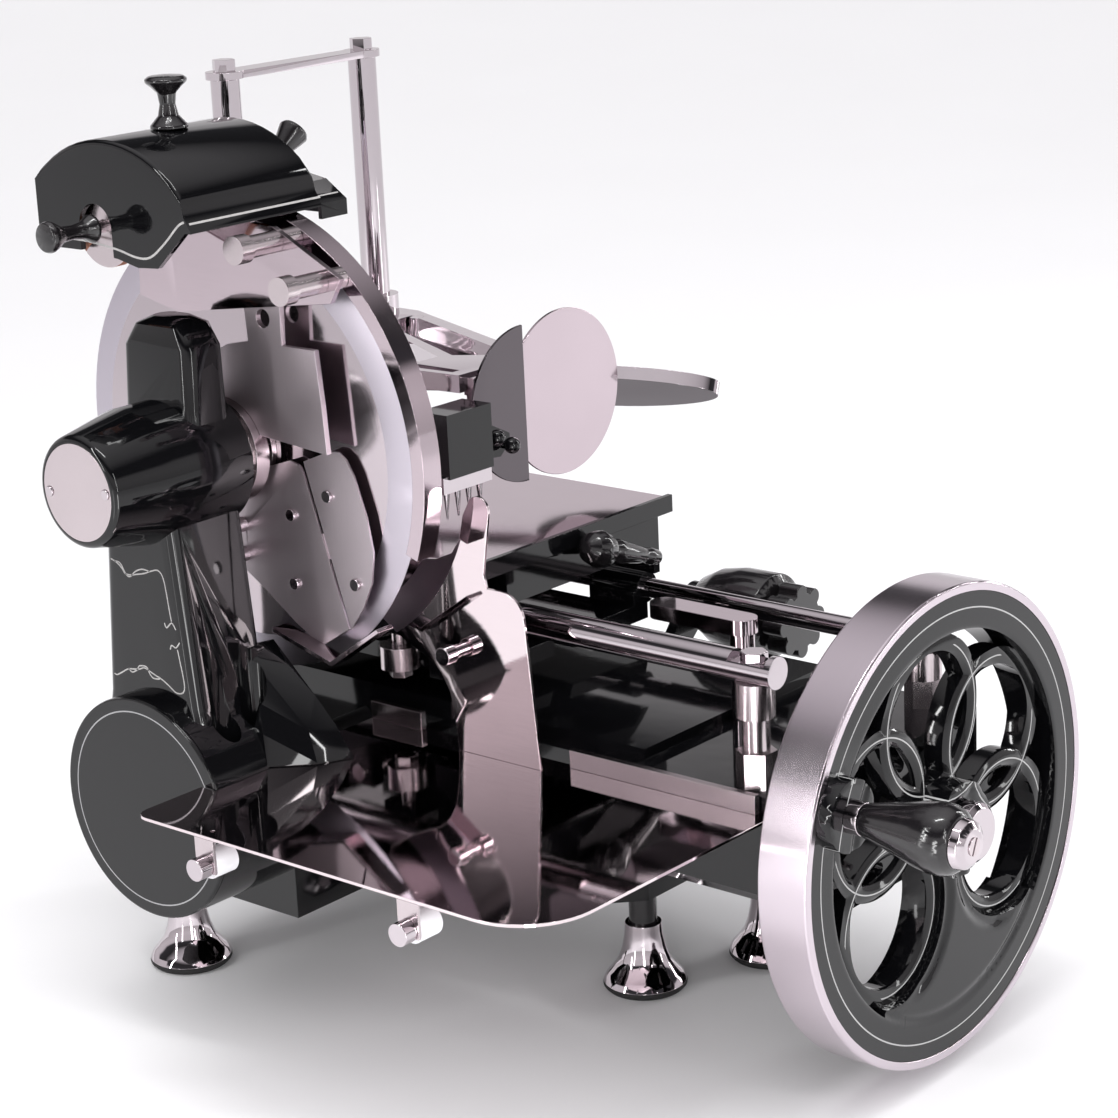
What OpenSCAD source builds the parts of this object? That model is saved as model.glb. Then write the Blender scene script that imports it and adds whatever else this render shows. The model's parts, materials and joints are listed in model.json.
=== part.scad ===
// Hand crank meat slicer with a flywheel, a sharpener on top and a sliding food carriage.
// +X is the operator's right, +Y points away from the operator, +Z is up, millimetres.
// The counter is Z = 0. Pieces are drawn about the flywheel's shaft and moved there by stand().

/* [Flywheel] */
// Radius of the flywheel
wheel_r = 152; // [140:1:158]
// Width of the flywheel rim along the shaft
rim_w = 35; // [28:1:40]
// Radial thickness of the steel rim
rim_t = 6; // [4:0.5:8]
// Radial width of the flat band inside the rim
band_w = 23; // [16:1:28]
// Thickness of the spokes along the shaft
spoke_t = 15; // [8:1:20]
// Width of one spoke ribbon
ribbon_w = 11; // [8:0.5:13]
// Diameter of the flywheel shaft
wheel_shaft_d = 22; // [18:1:26]
// Distance of the grip's axis from the shaft's axis
throw_r = 128; // [118:1:132]
// Length of the turned grip
grip_l = 64; // [50:1:80]
// Largest radius of the grip
grip_r = 21; // [17:0.5:24]

/* [Blade] */
// Radius of the blade
blade_r = 150; // [140:1:155]
// Thickness of the blade
blade_t = 3; // [2:0.5:4]
// Radial width of the ground bevel
bevel_w = 22; // [14:1:28]
// Diameter of the blade shaft
blade_shaft_d = 24; // [18:1:28]
// Gap between the blade's edge and the ring round it
ring_gap = 1.5; // [1:0.25:3]
// Radial width of the ring round the blade
ring_w = 10; // [7:0.5:14]
// Depth of the ring along the shaft
ring_t = 16; // [10:1:20]

/* [Stand] */
// Height of the flywheel shaft above the counter
axle_h = 165; // [160:1:180]
// Height of the feet
leg_h = 77; // [70:1:90]
// Radius of a foot's base
leg_r = 28.5; // [24:0.5:34]
// Wall of the base casting
wall = 8; // [5:0.5:12]
// Thickness of the slice tray
tray_t = 2; // [1.5:0.25:4]

/* [Carriage] */
// Diameter of the left guide rod
rod_d = 20; // [16:1:24]
// Diameter of the right guide rod
small_rod_d = 14; // [10:1:16]
// Thickness of the food table's plate
table_t = 4; // [3:0.5:6]
// Diameter of the clamp's posts
post_d = 20; // [16:1:24]
// Height of the clamp's posts above the table
post_h = 287; // [240:1:320]

/* [Sharpener] */
// Width of the hood along the blade shaft
hood_w = 112; // [100:1:125]
// Wall of the hood
hood_wall = 4; // [3:0.5:6]
// Radius of the grinding stone
stone_r = 26; // [23:0.5:27]

/* [Hidden] */
$fn = 48;

// Place of the flywheel's shaft and front face in the frame
wheel_x = 75;
wheel_y = -250;
// Overrun of every cut past the face that it opens
cut = 1;
// Gap between pieces of one body that lie side by side
seat = 0.15;
// Radial clearance of a shaft in its bearing
run = 0.05;
// Gap between bodies that pass each other
pass = 0.8;

// Colours
coat = "#0b0b0d";
steel = "#b9b3b4";
bright = "#d9d4d6";
blackware = "#17151a";
stone_tint = "#a4694f";

// Place of the blade's edge, with the shaft's height over the flywheel shaft
blade_x = -145;
shaft_y = 442;
shaft_z = 217;

// Flywheel values
band_r = wheel_r - rim_t;
dish_r = band_r - band_w;
petals = 6;
petal_turn = 360 / petals;
first_petal = 38;
solid_petal = 4;
petal_place = 0.585 * dish_r;
petal_r = 0.386 * dish_r;
dish_drop = 7;
leaf_sink = 4;
leaf_place_share = 0.98;
leaf_slot_r = 4;
slot_half = 8;
hub_r = 30;
hub_rise = 9;
grip_turn = 158;
boss_r = 22;
boss_rise = 10;
face_drop = 0.8;
cap_r = 19;
cap_t = 12;
collar_r = 10;
collar_l = 9;
spindle_r = 5;
grip_cap_r = 15;
grip_cap_t = 8;
// Shares of the grip's length and of its largest radius along its outline
grip_shares = [[0, 0.46], [0.03, 0.5], [0.35, 0.72], [0.62, 0.93], [0.76, 1], [0.88, 0.98], [0.96, 0.88], [1, 0.74]];

// Base casting values
base_bottom = leg_h - axle_h;
deck_z = 45;
nose_z = 38;
low_z = -20;
body_x0 = -91;
body_x1 = 102;
body_y0 = 165;
body_y1 = 560;
nose_x0 = -102;
nose_x1 = 104;
nose_y0 = 48;
nose_z0 = -52;
foot_x0 = -187;
foot_y0 = 385;
low_corner = [-60, 213];
corner_cut = 26;
front_leg = [-8, 240];
rear_leg = [-158, 528];
right_leg_x = 80;
right_front_y = 200;
toe_l = 44;
bearing_r = 24;
bearing_l = 46;

// Top of the ring round the blade, which carries the hood and the stones
ring_top = shaft_z + blade_r + ring_gap + ring_w;

// Hood values, with its heights below or above the ring's top
hood_sink = 24.5;
crown_sink = 48.5;
lip_sink = 7;
stop_lift = 17.5;
hood_x = -232;
hood_front = 394;
hood_back = 527;
hood_low_z = ring_top - hood_sink;
hood_back_h = 42;
crown_y = 462;
crown_z = ring_top - crown_sink;
crown_r = 94;
lip_z = ring_top - lip_sink;
lip_out = 8;
lip_edge = 1.5;
wing_w = 22;
wing_t = 3;
wing_h = 18;
wing_drop = 8;
wing_y1 = 448;
slot_r = 15;
hood_drop = 70;
knob_y = 460;
stop_y = 426;
stop_z = ring_top + stop_lift;
stop_tip = 51;
stop_clear = 20;
lip_rise = 22;
lip_step = 10;
wing_sink = 2;
// Places of the hood's lower edge, from the crown's centre and from the low edge
belly_places = [[-44, -6], [-26, -7], [-8, -3], [24, 0]];
// Angles of the crown's and the wing's arcs
crown_arc = [54, 130];
wing_arc = [60, 100];
knob_r = 10;
// Shares of the knobs' foot radius along their outlines
mushroom_shares = [[0, 0], [1.2, 0], [1.2, 0.2], [1, 0.4], [0.65, 0.8], [0.5, 1.5], [0.6, 2.2], [1, 2.6], [1.3, 2.85],
    [1.35, 3.05], [1.1, 3.25], [0, 3.35]];
spool_shares = [[0, 0], [0.9, 0], [0.9, -0.2], [0.55, -0.8], [0.45, -1.6], [0.5, -2.5], [0.9, -3.2], [1, -3.5],
    [0.9, -3.8], [0, -3.85]];
stop_shares = [[0, 0], [0.45, 0], [0.45, 0.7], [0.6, 1.4], [0.9, 2.4], [1, 2.8], [0.9, 3], [0, 3.05]];

// Leg values
pad_t = 5;
bell_h = 42;
stem_r = 9.5;
bell_neck_r = 12.5;
// Shares of the bell's height and of its base radius, from the neck to the base
bell_shares = [[1, 0.44], [0.8, 0.46], [0.55, 0.53], [0.35, 0.64], [0.2, 0.8], [0.1, 0.93], [0, 1]];

// Column values
column_x0 = -247;
column_x1 = -184;
column_top = 312;
column_w_top = 62;
column_w_low = 84;
column_round = 18;
column_edge = 8;
neck_x0 = -220;
neck_x1 = -188;
neck_swell = 4;
flute_r = 9;
flute_depth = 3;
flute_top = 150;
flute_places = [-228, -203];
boss_edge = 5;
leaf_left = -214;
leaf_w = 43;
leaf_reach = 68;
leaf_rise = 68;
leaf_lean = 0.3;
leaf_bow_share = 0.84;
// Shares of the leaf's height, and of the way that it has drawn in at that height
leaf_shares = [[0, 0], [0.28, 0.16], [0.56, 0.38], [0.82, 0.66], [1, 0.94]];
column_neck_z = 70;
drum_x = -260;
drum_r = 74;
drum_cover_t = 6;
drum_recess = 3;
boss_x = -291;
boss_rim_r = 36;
boss_root_r = 44;
boss_plate_r = 31;
boss_plate_t = 3;
boss_screw_r = 2.4;
leaf_x1 = -112;
leaf_y = 400;
leaf_l = 70;
chain_x = -214;
chain_gap_w = 15;

// Drive values
pitch = 9.525;
low_teeth = 24;
top_teeth = 12;
low_pitch_r = pitch / (2 * sin(180 / low_teeth));
top_pitch_r = pitch / (2 * sin(180 / top_teeth));
sprocket_t = 5;
chain_h = 8;
chain_w = 9;
bevel_teeth = 20;
bevel_r = 34;
bevel_in = 0.62 * bevel_r;
tooth_h = 4;
cross_r = 9;
cross_x1 = -8;

// Tray values
tray_z = 28;
tray_x0 = -318;
tray_x1 = -102.5;
tray_y0 = 58;
tray_y1 = 384;
tray_round = 46;
tray_corner = 10;
bracket_w = 16;
bracket_drop = 22;
bracket_t = 2;
bracket_ys = [155, 322];
tray_pin_r = 3;
thumb_r = 7;
thumb_t = 9;
nylon_r = 9;
nylon_t = 17;

// Guide values
rail_h = 12;
rail_t = 5;
rail_x = -108;
front_rail_y = [68, 212];
rear_rail_y = [339, 384];
rod_x = -90;
rod_z = 113;
small_rod_x = 90;
small_rod_z = 80;
rod_y0 = 62;
rod_y1 = 563;
rod_seat_l = 26;
rod_seat_h = 5;
small_seat_h = 3;
post_y = 79;
rear_post_y = 546;
post_foot_af = 22;
post_foot_l = 24;
post_neck_r = 8.5;
post_top_r = 12;
post_top_l = 22;
bolt_af = 15;
bolt_h = 6;
bolt_r = 4;

// Blade side values
dish_t = 5;
blade_hub_r = 34;
sleeve_r = 35;
sleeve_gap = 2;
ring_inner = blade_r + ring_gap;
ring_outer = ring_inner + ring_w;
ring_from = 62;
ring_to = 200;
cover_x = -157;
cover_t = 1.5;
screw_head_r = 4;
screw_head_h = 2.2;

// Outlines of the two blade covers in Y and Z from the blade's centre, and their screws
cover_left = [[8, -40], [8, -78], [-18, -94], [-44, -112], [-66, -124], [-92, -108], [-60, -9], [-57, -5], [-49, -3],
    [-30, -9], [-18, -16], [-12, -26]];
cover_right = [[-62, -6], [-61, -2], [-86, 8], [-93, 8], [-99, 4], [-105, -6], [-114, -32], [-118, -54], [-115, -74],
    [-106, -92], [-94, -108]];
cover_screw_places = [[-47, -39], [-46, -85], [-81, -22], [-101, -77]];
standoff_r = 5;
standoff_zs = [-52, -72];
strap_y = -92;
strap_l = 36;
strap_low = -64;
strap_h = 16;

// Moves a piece drawn about the flywheel shaft into the frame
module stand() { translate([wheel_x, wheel_y, axle_h]) children(); }

// Moves a piece drawn about the blade's centre, in the plane of its edge
module at_blade() { stand() translate([blade_x, shaft_y, shaft_z]) children(); }

// Round bar along X from the origin
module bar_x(r, l) { rotate([0, 90, 0]) cylinder(r = r, h = l); }

// Round bar along Y from the origin
module bar_y(r, l) { rotate([-90, 0, 0]) cylinder(r = r, h = l); }

// Outline in Y and Z thickened along X
module slab_x(t) { rotate([90, 0, 90]) linear_extrude(t) children(); }

// Outline in X and Z thickened along Y
module slab_y(t) { translate([0, t, 0]) rotate([90, 0, 0]) linear_extrude(t) children(); }

// Outline of radius and X turned about X
module turned_x() { rotate([0, 90, 0]) rotate_extrude() children(); }

// Outline of radius and Y turned about Y
module turned_y() { rotate([-90, 0, 0]) rotate_extrude() children(); }

// Points of an arc, both ends included
function arc(c, r, a0, a1, steps) =
    [for (i = [0:steps]) c + r * [cos(a0 + (a1 - a0) * i / steps), sin(a0 + (a1 - a0) * i / steps)]];

// Shares of a length and a radius as an outline for turning, closed on the axis
function turned_points(shares, l, r) =
    concat([[0, shares[0][0] * l]], [for (s = shares) [s[1] * r, s[0] * l]],
        [[0, shares[len(shares) - 1][0] * l]]);

// Six sided prism along Z with its width across flats
module hex(af, h) { cylinder(r = af / sqrt(3), h = h, $fn = 6); }

// Base casting: hollow body on the legs, with a nose that carries the flywheel
module base_casting() {
    color(coat) stand() difference() {
        union() {
            difference() {
                union() {
                    low_frame(base_bottom, low_z, 0);
                    translate([body_x0, body_y0, low_z])
                        cube([body_x1 - body_x0, body_y1 - body_y0, deck_z - low_z]);
                    nose();
                    translate([0, nose_y0 - nose_lip, 0]) bar_y(bearing_r, nose_lip + wall);
                }
                low_frame(base_bottom - cut, low_z - wall, wall);
                translate([body_x0 + wall, body_y0 + wall, low_z - wall - cut])
                    cube([body_x1 - body_x0 - 2 * wall, body_y1 - body_y0 - 2 * wall, deck_z - low_z + cut]);
                translate([nose_x0 + wall, nose_y0 + wall, nose_z0 - cut])
                    cube([nose_x1 - nose_x0 - 2 * wall, body_y0 - nose_y0, nose_z - nose_z0 - wall + cut]);
            }
            // webs that carry the two shafts inside
            translate([body_x0 + cut, web_y, low_z - wall])
                cube([body_x1 - body_x0 - 2 * cut, wall, deck_z - low_z]);
            translate([web_x, web_y + cut, low_z - wall])
                cube([wall, body_y1 - web_y - 2 * cut, deck_z - low_z]);
            // solid corners over the legs
            leg_places() translate([0, 0, leg_h]) cylinder(r = stem_r + wall, h = low_z - base_bottom - cut);
            leg_webs();
            // arms under the slice tray
            for (a = [[arm_ys[0], nose_x0], [arm_ys[1], body_x0]])
                translate([arm_x0, a[0], tray_z - tray_t - wall]) cube([a[1] - arm_x0 + wall / 2, 2 * wall, wall]);
            // lug of the thickness dial
            translate([0, dial_y + dial_l + pass, 0]) slab_y(wall) polygon([
                [body_x1 - cut, deck_z - dial_lug_r * 2], [body_x1 - cut, deck_z - cut],
                [dial_x - dial_lug_r, dial_z + dial_lug_r / 2], [dial_x, dial_z + dial_lug_r],
                [dial_x + dial_lug_r, dial_z], [dial_x, dial_z - dial_lug_r]
            ]);
            translate([dial_x, dial_y + dial_l + pass, dial_z]) bar_y(dial_lug_r, wall);
        }
        translate([0, nose_y0 - nose_lip - cut, 0]) bar_y(wheel_shaft_d / 2 + run, web_y + wall);
        translate([foot_x0 - cut, shaft_y, 0]) bar_x(cross_r + run, web_x + wall - foot_x0 + 2 * cut);
        translate([dial_x, dial_y, dial_z]) bar_y(dial_pin_r + run, dial_l + 2 * wall);
        translate([0, crank_y, nose_z - wall - cut]) cylinder(r = crank_pin_r + run, h = wall + deck_z - nose_z + 2 * cut);
    }
}

// Webs that tie the leg corners to the front and rear walls
module leg_webs() {
    for (p = [[front_leg, -1], [[right_leg_x, right_front_y], -1], [rear_leg, 1], [[right_leg_x, rear_leg[1]], 1]])
        translate([p[0][0] - wall, p[0][1] - (p[1] < 0 ? leg_web_l : 0), base_bottom])
            cube([2 * wall, leg_web_l, low_z - base_bottom - cut]);
}
leg_web_l = 25;
arm_x0 = -167;
nose_lip = 8;
web_y = 366;
web_x = -80;
arm_ys = [120, 330];
dial_l = 66;
dial_lug_r = 14;
dial_pin_r = 6;

// Outline of the lower frame, drawn in from its walls, with a toe over the right front leg
module low_frame(z0, z1, inset) {
    toe_y = right_front_y - front_leg[1] + low_corner[1];
    translate([0, 0, z0]) linear_extrude(z1 - z0) polygon([
        [foot_x0 + inset, foot_y0 + inset],
        [low_corner[0] - corner_cut + inset, foot_y0 + inset],
        [low_corner[0] + inset, low_corner[1] + corner_cut + inset],
        [low_corner[0] + corner_cut + inset, low_corner[1] + inset],
        [body_x1 - toe_l - (low_corner[1] - toe_y) + inset, low_corner[1] + inset],
        [body_x1 - toe_l + inset, toe_y + inset],
        [body_x1 - inset, toe_y + inset],
        [body_x1 - inset, body_y1 - inset],
        [foot_x0 + inset, body_y1 - inset]
    ]);
}

// Nose of the base, seen from the operator's side, in front of the body
module nose() {
    translate([0, nose_y0, 0]) slab_y(body_y0 - nose_y0) polygon(concat(
        [[nose_x0, nose_z], [nose_x0, nose_z0 + corner_cut], [nose_x0 + corner_cut, nose_z0]],
        [[nose_x1 - corner_cut, nose_z0], [nose_x1, nose_z0 + corner_cut], [nose_x1, nose_z]]
    ));
}

// Column: hollow casting that carries the blade shaft and hides the chain
module column() {
    color(coat) stand() difference() {
        union() {
            column_body();
            // round housing of the cross shaft
            translate([drum_x + drum_recess, shaft_y, 0]) bar_x(drum_r, foot_x0 - drum_x - drum_recess - seat);
            // boss of the blade shaft, narrowing towards its cap
            translate([boss_x, shaft_y, shaft_z]) turned_x() polygon(concat(
                [[0, 0], [boss_rim_r - boss_edge, 0]],
                arc([boss_rim_r - boss_edge, boss_edge], boss_edge, -90, -10, 5),
                [[boss_root_r, column_x0 - boss_x], [boss_root_r, column_x1 - boss_x], [0, column_x1 - boss_x]]
            ));
            column_foot();
            column_leaf();
        }
        // chain space
        hull() {
            translate([chain_x - chain_gap_w / 2, shaft_y, 0])
                bar_x(low_pitch_r + chain_h, chain_gap_w);
            translate([chain_x - chain_gap_w / 2, shaft_y, shaft_z])
                bar_x(top_pitch_r + chain_h, chain_gap_w);
        }
        // upright flutes in the operator's side
        for (x = flute_places) translate([x, shaft_y - column_w_low / 2 - flute_r + flute_depth, 0]) {
            cylinder(r = flute_r, h = flute_top, $fn = 32);
            translate([0, 0, flute_top]) sphere(r = flute_r, $fn = 32);
        }
        translate([boss_x - cut, shaft_y, shaft_z]) bar_x(boss_plate_r + seat, boss_plate_t + 2 * cut);
        translate([boss_x, shaft_y, shaft_z]) bar_x(blade_shaft_d / 2 + run, column_x1 - boss_x + cut);
        translate([drum_x + drum_recess, shaft_y, 0]) bar_x(cross_r + run, -drum_x);
    }
}

// Upright of the column, lofted through level slices: a slim neck over a thicker, flaring trunk
module column_body() {
    hull() {
        column_slice(column_top, column_w_top - 2 * column_round, neck_x0 + column_round / 2, neck_x1 - column_round / 3);
        column_slice(column_top - column_round / 4, column_w_top - column_round, neck_x0 + neck_swell / 2, neck_x1);
        column_slice(column_top - column_round, column_w_top, neck_x0, neck_x1);
        column_slice(shaft_z, column_w_top + neck_swell, neck_x0 - neck_swell, neck_x1);
    }
    hull() {
        column_slice(shaft_z - boss_root_r / 2, column_w_top, column_x0, column_x1);
        column_slice(column_neck_z, column_w_low, column_x0, column_x1);
    }
    hull() {
        column_slice(column_neck_z, column_w_low, column_x0, column_x1);
        column_slice(low_z + wall, 2 * drum_r - corner_cut, column_x0, column_x1);
    }
}

// Thin level slice of the column at one height, with rounded edges
module column_slice(z, w, x0, x1) {
    for (x = [x0 + column_edge, x1 - column_edge])
        for (y = [shaft_y - w / 2 + column_edge, shaft_y + w / 2 - column_edge])
            translate([x, y, z - cut]) cylinder(r = column_edge, h = cut, $fn = 32);
}

// Pointed leaf that sweeps from the column's front corner out over the tray
module column_leaf() {
    back_y = shaft_y - column_w_low / 2 + column_edge;
    hull() {
        for (s = leaf_shares) leaf_slice(tray_z + max(seat, s[0] * leaf_rise), s[1], back_y);
    }
}

// One level slice of the leaf, drawn in towards the column by a share
module leaf_slice(z, share, back_y) {
    translate([0, 0, z]) linear_extrude(cut) polygon([
        [leaf_left + share * leaf_w / 2, back_y],
        [leaf_left + share * leaf_w / 2, back_y - leaf_reach * (1 - share) / 2],
        [leaf_left + leaf_w * (1 + share) / 2, back_y - leaf_reach * (1 - share) * leaf_bow_share],
        [leaf_left + leaf_w * (1 - share * leaf_lean), back_y - leaf_reach * (1 - share)],
        [leaf_left + leaf_w * (1 - share * leaf_lean), back_y]
    ]);
}

// Foot of the column: a leaf shaped flank that flares onto the base
module column_foot() {
    hull() {
        translate([foot_x0 + seat - foot_t, leaf_y, low_z]) cube([foot_t, leaf_l, leaf_h]);
        translate([leaf_x1 - foot_t, leaf_y, low_z]) cube([foot_t, leaf_l / 2, wall]);
    }
}
foot_t = 10;
leaf_h = 118;

// Round plate on the column's boss
module boss_cover() {
    color(steel) stand() translate([boss_x, shaft_y, shaft_z]) difference() {
        bar_x(boss_plate_r, boss_plate_t);
        for (s = [-1, 1]) boss_screw_place(s) translate([-cut, 0, 0]) bar_x(boss_screw_r, boss_plate_t + 2 * cut);
    }
}

// Place of one of the two screws in the boss cover
module boss_screw_place(s) {
    translate([0, s * (boss_plate_r - boss_screw_r * 2), -s * boss_screw_r]) children();
}

// Round cover over the cross shaft's housing
module drum_cover() {
    color(coat) stand() translate([drum_x, shaft_y, 0]) turned_x() polygon([
        [0, 0], [drum_r - cut, 0], [drum_r, cut], [drum_r, drum_recess], [0, drum_recess]
    ]);
}

// Places of the four legs, on the counter
module leg_places() {
    for (p = [front_leg, rear_leg, [right_leg_x, right_front_y], [right_leg_x, rear_leg[1]]])
        translate([p[0], p[1], -axle_h]) children();
}

// Polished bells of the four legs
module leg_bells() {
    color(bright) stand() leg_places() translate([0, 0, pad_t]) difference() {
        rotate_extrude() polygon(turned_points(bell_shares, bell_h, leg_r));
        translate([0, 0, bell_h / 2]) cylinder(r = stem_r + seat, h = bell_h);
    }
}

// Black stems between the bells and the base casting
module leg_stems() {
    color(blackware) stand() leg_places() translate([0, 0, pad_t + bell_h / 2 + seat])
        cylinder(r = stem_r, h = leg_h - pad_t - bell_h / 2 - 2 * seat);
}

// Rubber pads under the bells
module leg_pads() {
    color(blackware) stand() leg_places() rotate_extrude()
        polygon([[0, 0], [leg_r - pad_t / 2, 0], [leg_r, pad_t / 2], [leg_r, pad_t], [0, pad_t]]);
}

// Polished sheet that catches the slices
module slice_tray() {
    color(bright) stand() translate([0, 0, tray_z - tray_t]) difference() {
        linear_extrude(tray_t) polygon(concat(
            arc([tray_x0 + tray_round, tray_y0 + tray_round], tray_round, 180, 270, 10),
            [[tray_x1, tray_y0], [tray_x1, tray_y1], [foot_x0 + notch_gap, tray_y1]],
            [[foot_x0 + notch_gap, notch_y], [drum_x - notch_gap, notch_y], [drum_x - notch_gap, tray_y1]],
            arc([tray_x0 + tray_corner, tray_y1 - tray_corner], tray_corner, 90, 180, 4)
        ));
        for (y = bracket_ys) translate([tray_x0 + bracket_w / 2, y, -cut])
            cylinder(r = tray_pin_r / 2, h = tray_t + 2 * cut);
    }
}

notch_gap = 2;
notch_y = 371;

// Angle brackets under the tray's left edge
module tray_brackets() {
    color(steel) stand() for (y = bracket_ys) translate([tray_x0, y, tray_z - tray_t]) difference() {
        union() {
            translate([0, -bracket_w / 2, -bracket_t]) cube([bracket_w, bracket_w, bracket_t]);
            translate([0, -bracket_w / 2, -bracket_drop]) cube([bracket_t, bracket_w, bracket_drop]);
        }
        translate([-cut, 0, -bracket_drop + nylon_r / 2]) bar_x(tray_pin_r + run, bracket_t + 2 * cut);
        translate([bracket_w / 2, 0, -bracket_t - cut]) cylinder(r = tray_pin_r / 2, h = bracket_t + 2 * cut);
    }
}

// Nylon roller on a thumb screw, below one bracket
module tray_roller(y) {
    stand() translate([tray_x0, y, tray_z - tray_t - bracket_drop + nylon_r / 2]) {
        color(bright) {
            translate([-thumb_t - seat, 0, 0]) bar_x(thumb_r, thumb_t);
            translate([-seat, 0, 0]) bar_x(tray_pin_r, bracket_t + nylon_t);
        }
        color("white") translate([bracket_t + 2 * seat, 0, 0]) bar_x(nylon_r, nylon_t);
    }
}
module tray_roller_front() { tray_roller(bracket_ys[0]); }
module tray_roller_rear() { tray_roller(bracket_ys[1]); }

// Two flat bars on the tray's right border
module guide_rails() {
    color(steel) stand() for (y = [front_rail_y, rear_rail_y])
        translate([rail_x, y[0], tray_z]) cube([rail_t, y[1] - y[0], rail_h]);
}

// Two round rods that carry the carriage
module guide_rods() {
    color(bright) stand() difference() {
        union() {
            translate([rod_x, rod_y0, rod_z]) bar_y(rod_d / 2, rod_y1 - rod_y0);
            translate([small_rod_x, rod_y0, small_rod_z]) bar_y(small_rod_d / 2, rod_y1 - rod_y0);
        }
        for (y = [post_y, rear_post_y]) {
            translate([rod_x, y, rod_z + rod_seat_h]) flat_cut(rod_d);
            translate([small_rod_x, y, small_rod_z + small_seat_h]) flat_cut(small_rod_d);
            translate([rod_x, y, rod_z - rod_d]) cylinder(r = bolt_r + seat, h = 2 * rod_d);
            translate([small_rod_x, y, small_rod_z - rod_d]) cylinder(r = bolt_r + seat, h = 2 * rod_d);
        }
    }
}

// Block that mills a flat into a rod for its bolt's head
module flat_cut(d) { translate([-d, -rod_seat_l / 2, 0]) cube([2 * d, rod_seat_l + cut, d]); }

// Turned posts under the rods' ends
module rod_posts() {
    color(steel) stand() {
        for (y = [post_y, rear_post_y]) {
            translate([rod_x, y, 0]) rod_post(y > body_y0 ? deck_z : nose_z, rod_z, rod_d);
            translate([small_rod_x, y, 0]) rod_post(y > body_y0 ? deck_z : nose_z, small_rod_z, small_rod_d);
        }
    }
}

// One post from the casting's top up to its rod
module rod_post(z0, z1, d) {
    top = z1 - d / 2 + rod_seat_h / 2;
    difference() {
        union() {
            translate([0, 0, z0]) hex(post_foot_af, min(post_foot_l, (top - z0) / 2));
            translate([0, 0, z0]) cylinder(r = post_neck_r, h = top - z0);
            translate([0, 0, top - min(post_top_l, (top - z0) / 2)])
                cylinder(r = post_top_r, h = min(post_top_l, (top - z0) / 2));
        }
        translate([0, -post_foot_af, z1]) bar_y(d / 2 + seat, 2 * post_foot_af);
        translate([0, 0, top - bolt_l - cut]) cylinder(r = bolt_r + seat, h = bolt_l + 2 * cut);
    }
}
bolt_l = 14;

// Hex bolts that hold the rods on their posts
module rod_bolts() {
    color(bright) stand() for (y = [post_y, rear_post_y]) {
        translate([rod_x, y, rod_z + rod_seat_h]) rod_bolt(rod_d);
        translate([small_rod_x, y, small_rod_z + small_seat_h]) rod_bolt(small_rod_d);
    }
}

// Hex bolt with its shank reaching into the post
module rod_bolt(d) {
    hex(bolt_af, bolt_h);
    translate([0, 0, -rod_seat_h - d / 2 - bolt_l / 2]) cylinder(r = bolt_r, h = rod_seat_h + d / 2 + bolt_l / 2 + cut);
}

// Polished ring round the blade's top and its operator side
module guard_ring() {
    color(bright) at_blade() ring_sweep(ring_inner, ring_outer, -ring_t / 2, ring_t);
}

// Part of a ring about the blade shaft, between the guard's two ends
module ring_sweep(r0, r1, x0, t) {
    translate([x0, 0, 0]) slab_x(t) polygon(concat(
        arc([0, 0], r1, ring_from, ring_to, 46), arc([0, 0], r0, ring_to, ring_from, 46)));
}

// Plate on the blade sleeve that carries the ring and the sharpener, with a drilled strap
module guard_bracket() {
    color(steel) stand() translate([bracket_x, shaft_y, shaft_z]) difference() {
        slab_x(guard_t) polygon([
            [-92, 8], [-90, 40], [-87, bracket_h], [-58, bracket_h], [-60, strap_top], [-24, strap_top],
            [-28, bracket_h], [-8, bracket_h - 4], [18, 58], [18, 18]
        ]);
        translate([-cut, 0, 0]) bar_x(sleeve_r + seat, guard_t + 2 * cut);
        for (z = strap_hole_zs) translate([-cut, strap_hole_y, z]) bar_x(strap_hole_r, guard_t + 2 * cut);
    }
}
bracket_x = -166;
guard_t = 4;
strap_sink = 29.5;
strap_top = ring_outer - strap_sink;
bracket_h = 74;
strap_hole_y = -43;
strap_hole_zs = [90, 106];
strap_hole_r = 6;

// Two polished plates in front of the blade's lower half, drawn about the blade's centre
module blade_covers() {
    color(bright) stand() translate([cover_x, shaft_y, shaft_z]) {
        slab_x(cover_t) {
            polygon(cover_left);
            polygon(cover_right);
        }
        // strap behind the two plates and their standoffs on the column
        translate([cover_t - seat, strap_y, strap_low]) cube([cover_t, strap_l, strap_h]);
        for (z = standoff_zs) translate([column_x1 - cover_x + seat, 0, z])
            bar_x(standoff_r, cover_x - column_x1 - seat + cut);
    }
}

// Small screws of the blade covers and of the boss cover
module cover_screws() {
    color(bright) stand() translate([cover_x, shaft_y, shaft_z])
        for (p = cover_screw_places)
            translate([-screw_head_h, p[0], p[1]]) bar_x(screw_head_r, screw_head_h);
    color(bright) stand() translate([boss_x, shaft_y, shaft_z])
        for (s = [-1, 1]) boss_screw_place(s) {
            bar_x(boss_screw_r - seat, boss_plate_t - seat);
            translate([-cut, 0, 0]) bar_x(boss_screw_r + cut, cut);
        }
}

// Polished cup below the blade that throws the slices down
module chute_cup() {
    color(bright) stand() translate([blade_x, shaft_y, shaft_z]) {
        translate([cover_x - blade_x - seat - cup_w, -132, -130])
            slab_x(cup_w) polygon([[0, 30], [44, 0], [96, 14], [96, 17], [45, 3], [2, 32]]);
    }
}
cup_w = 14;

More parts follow.
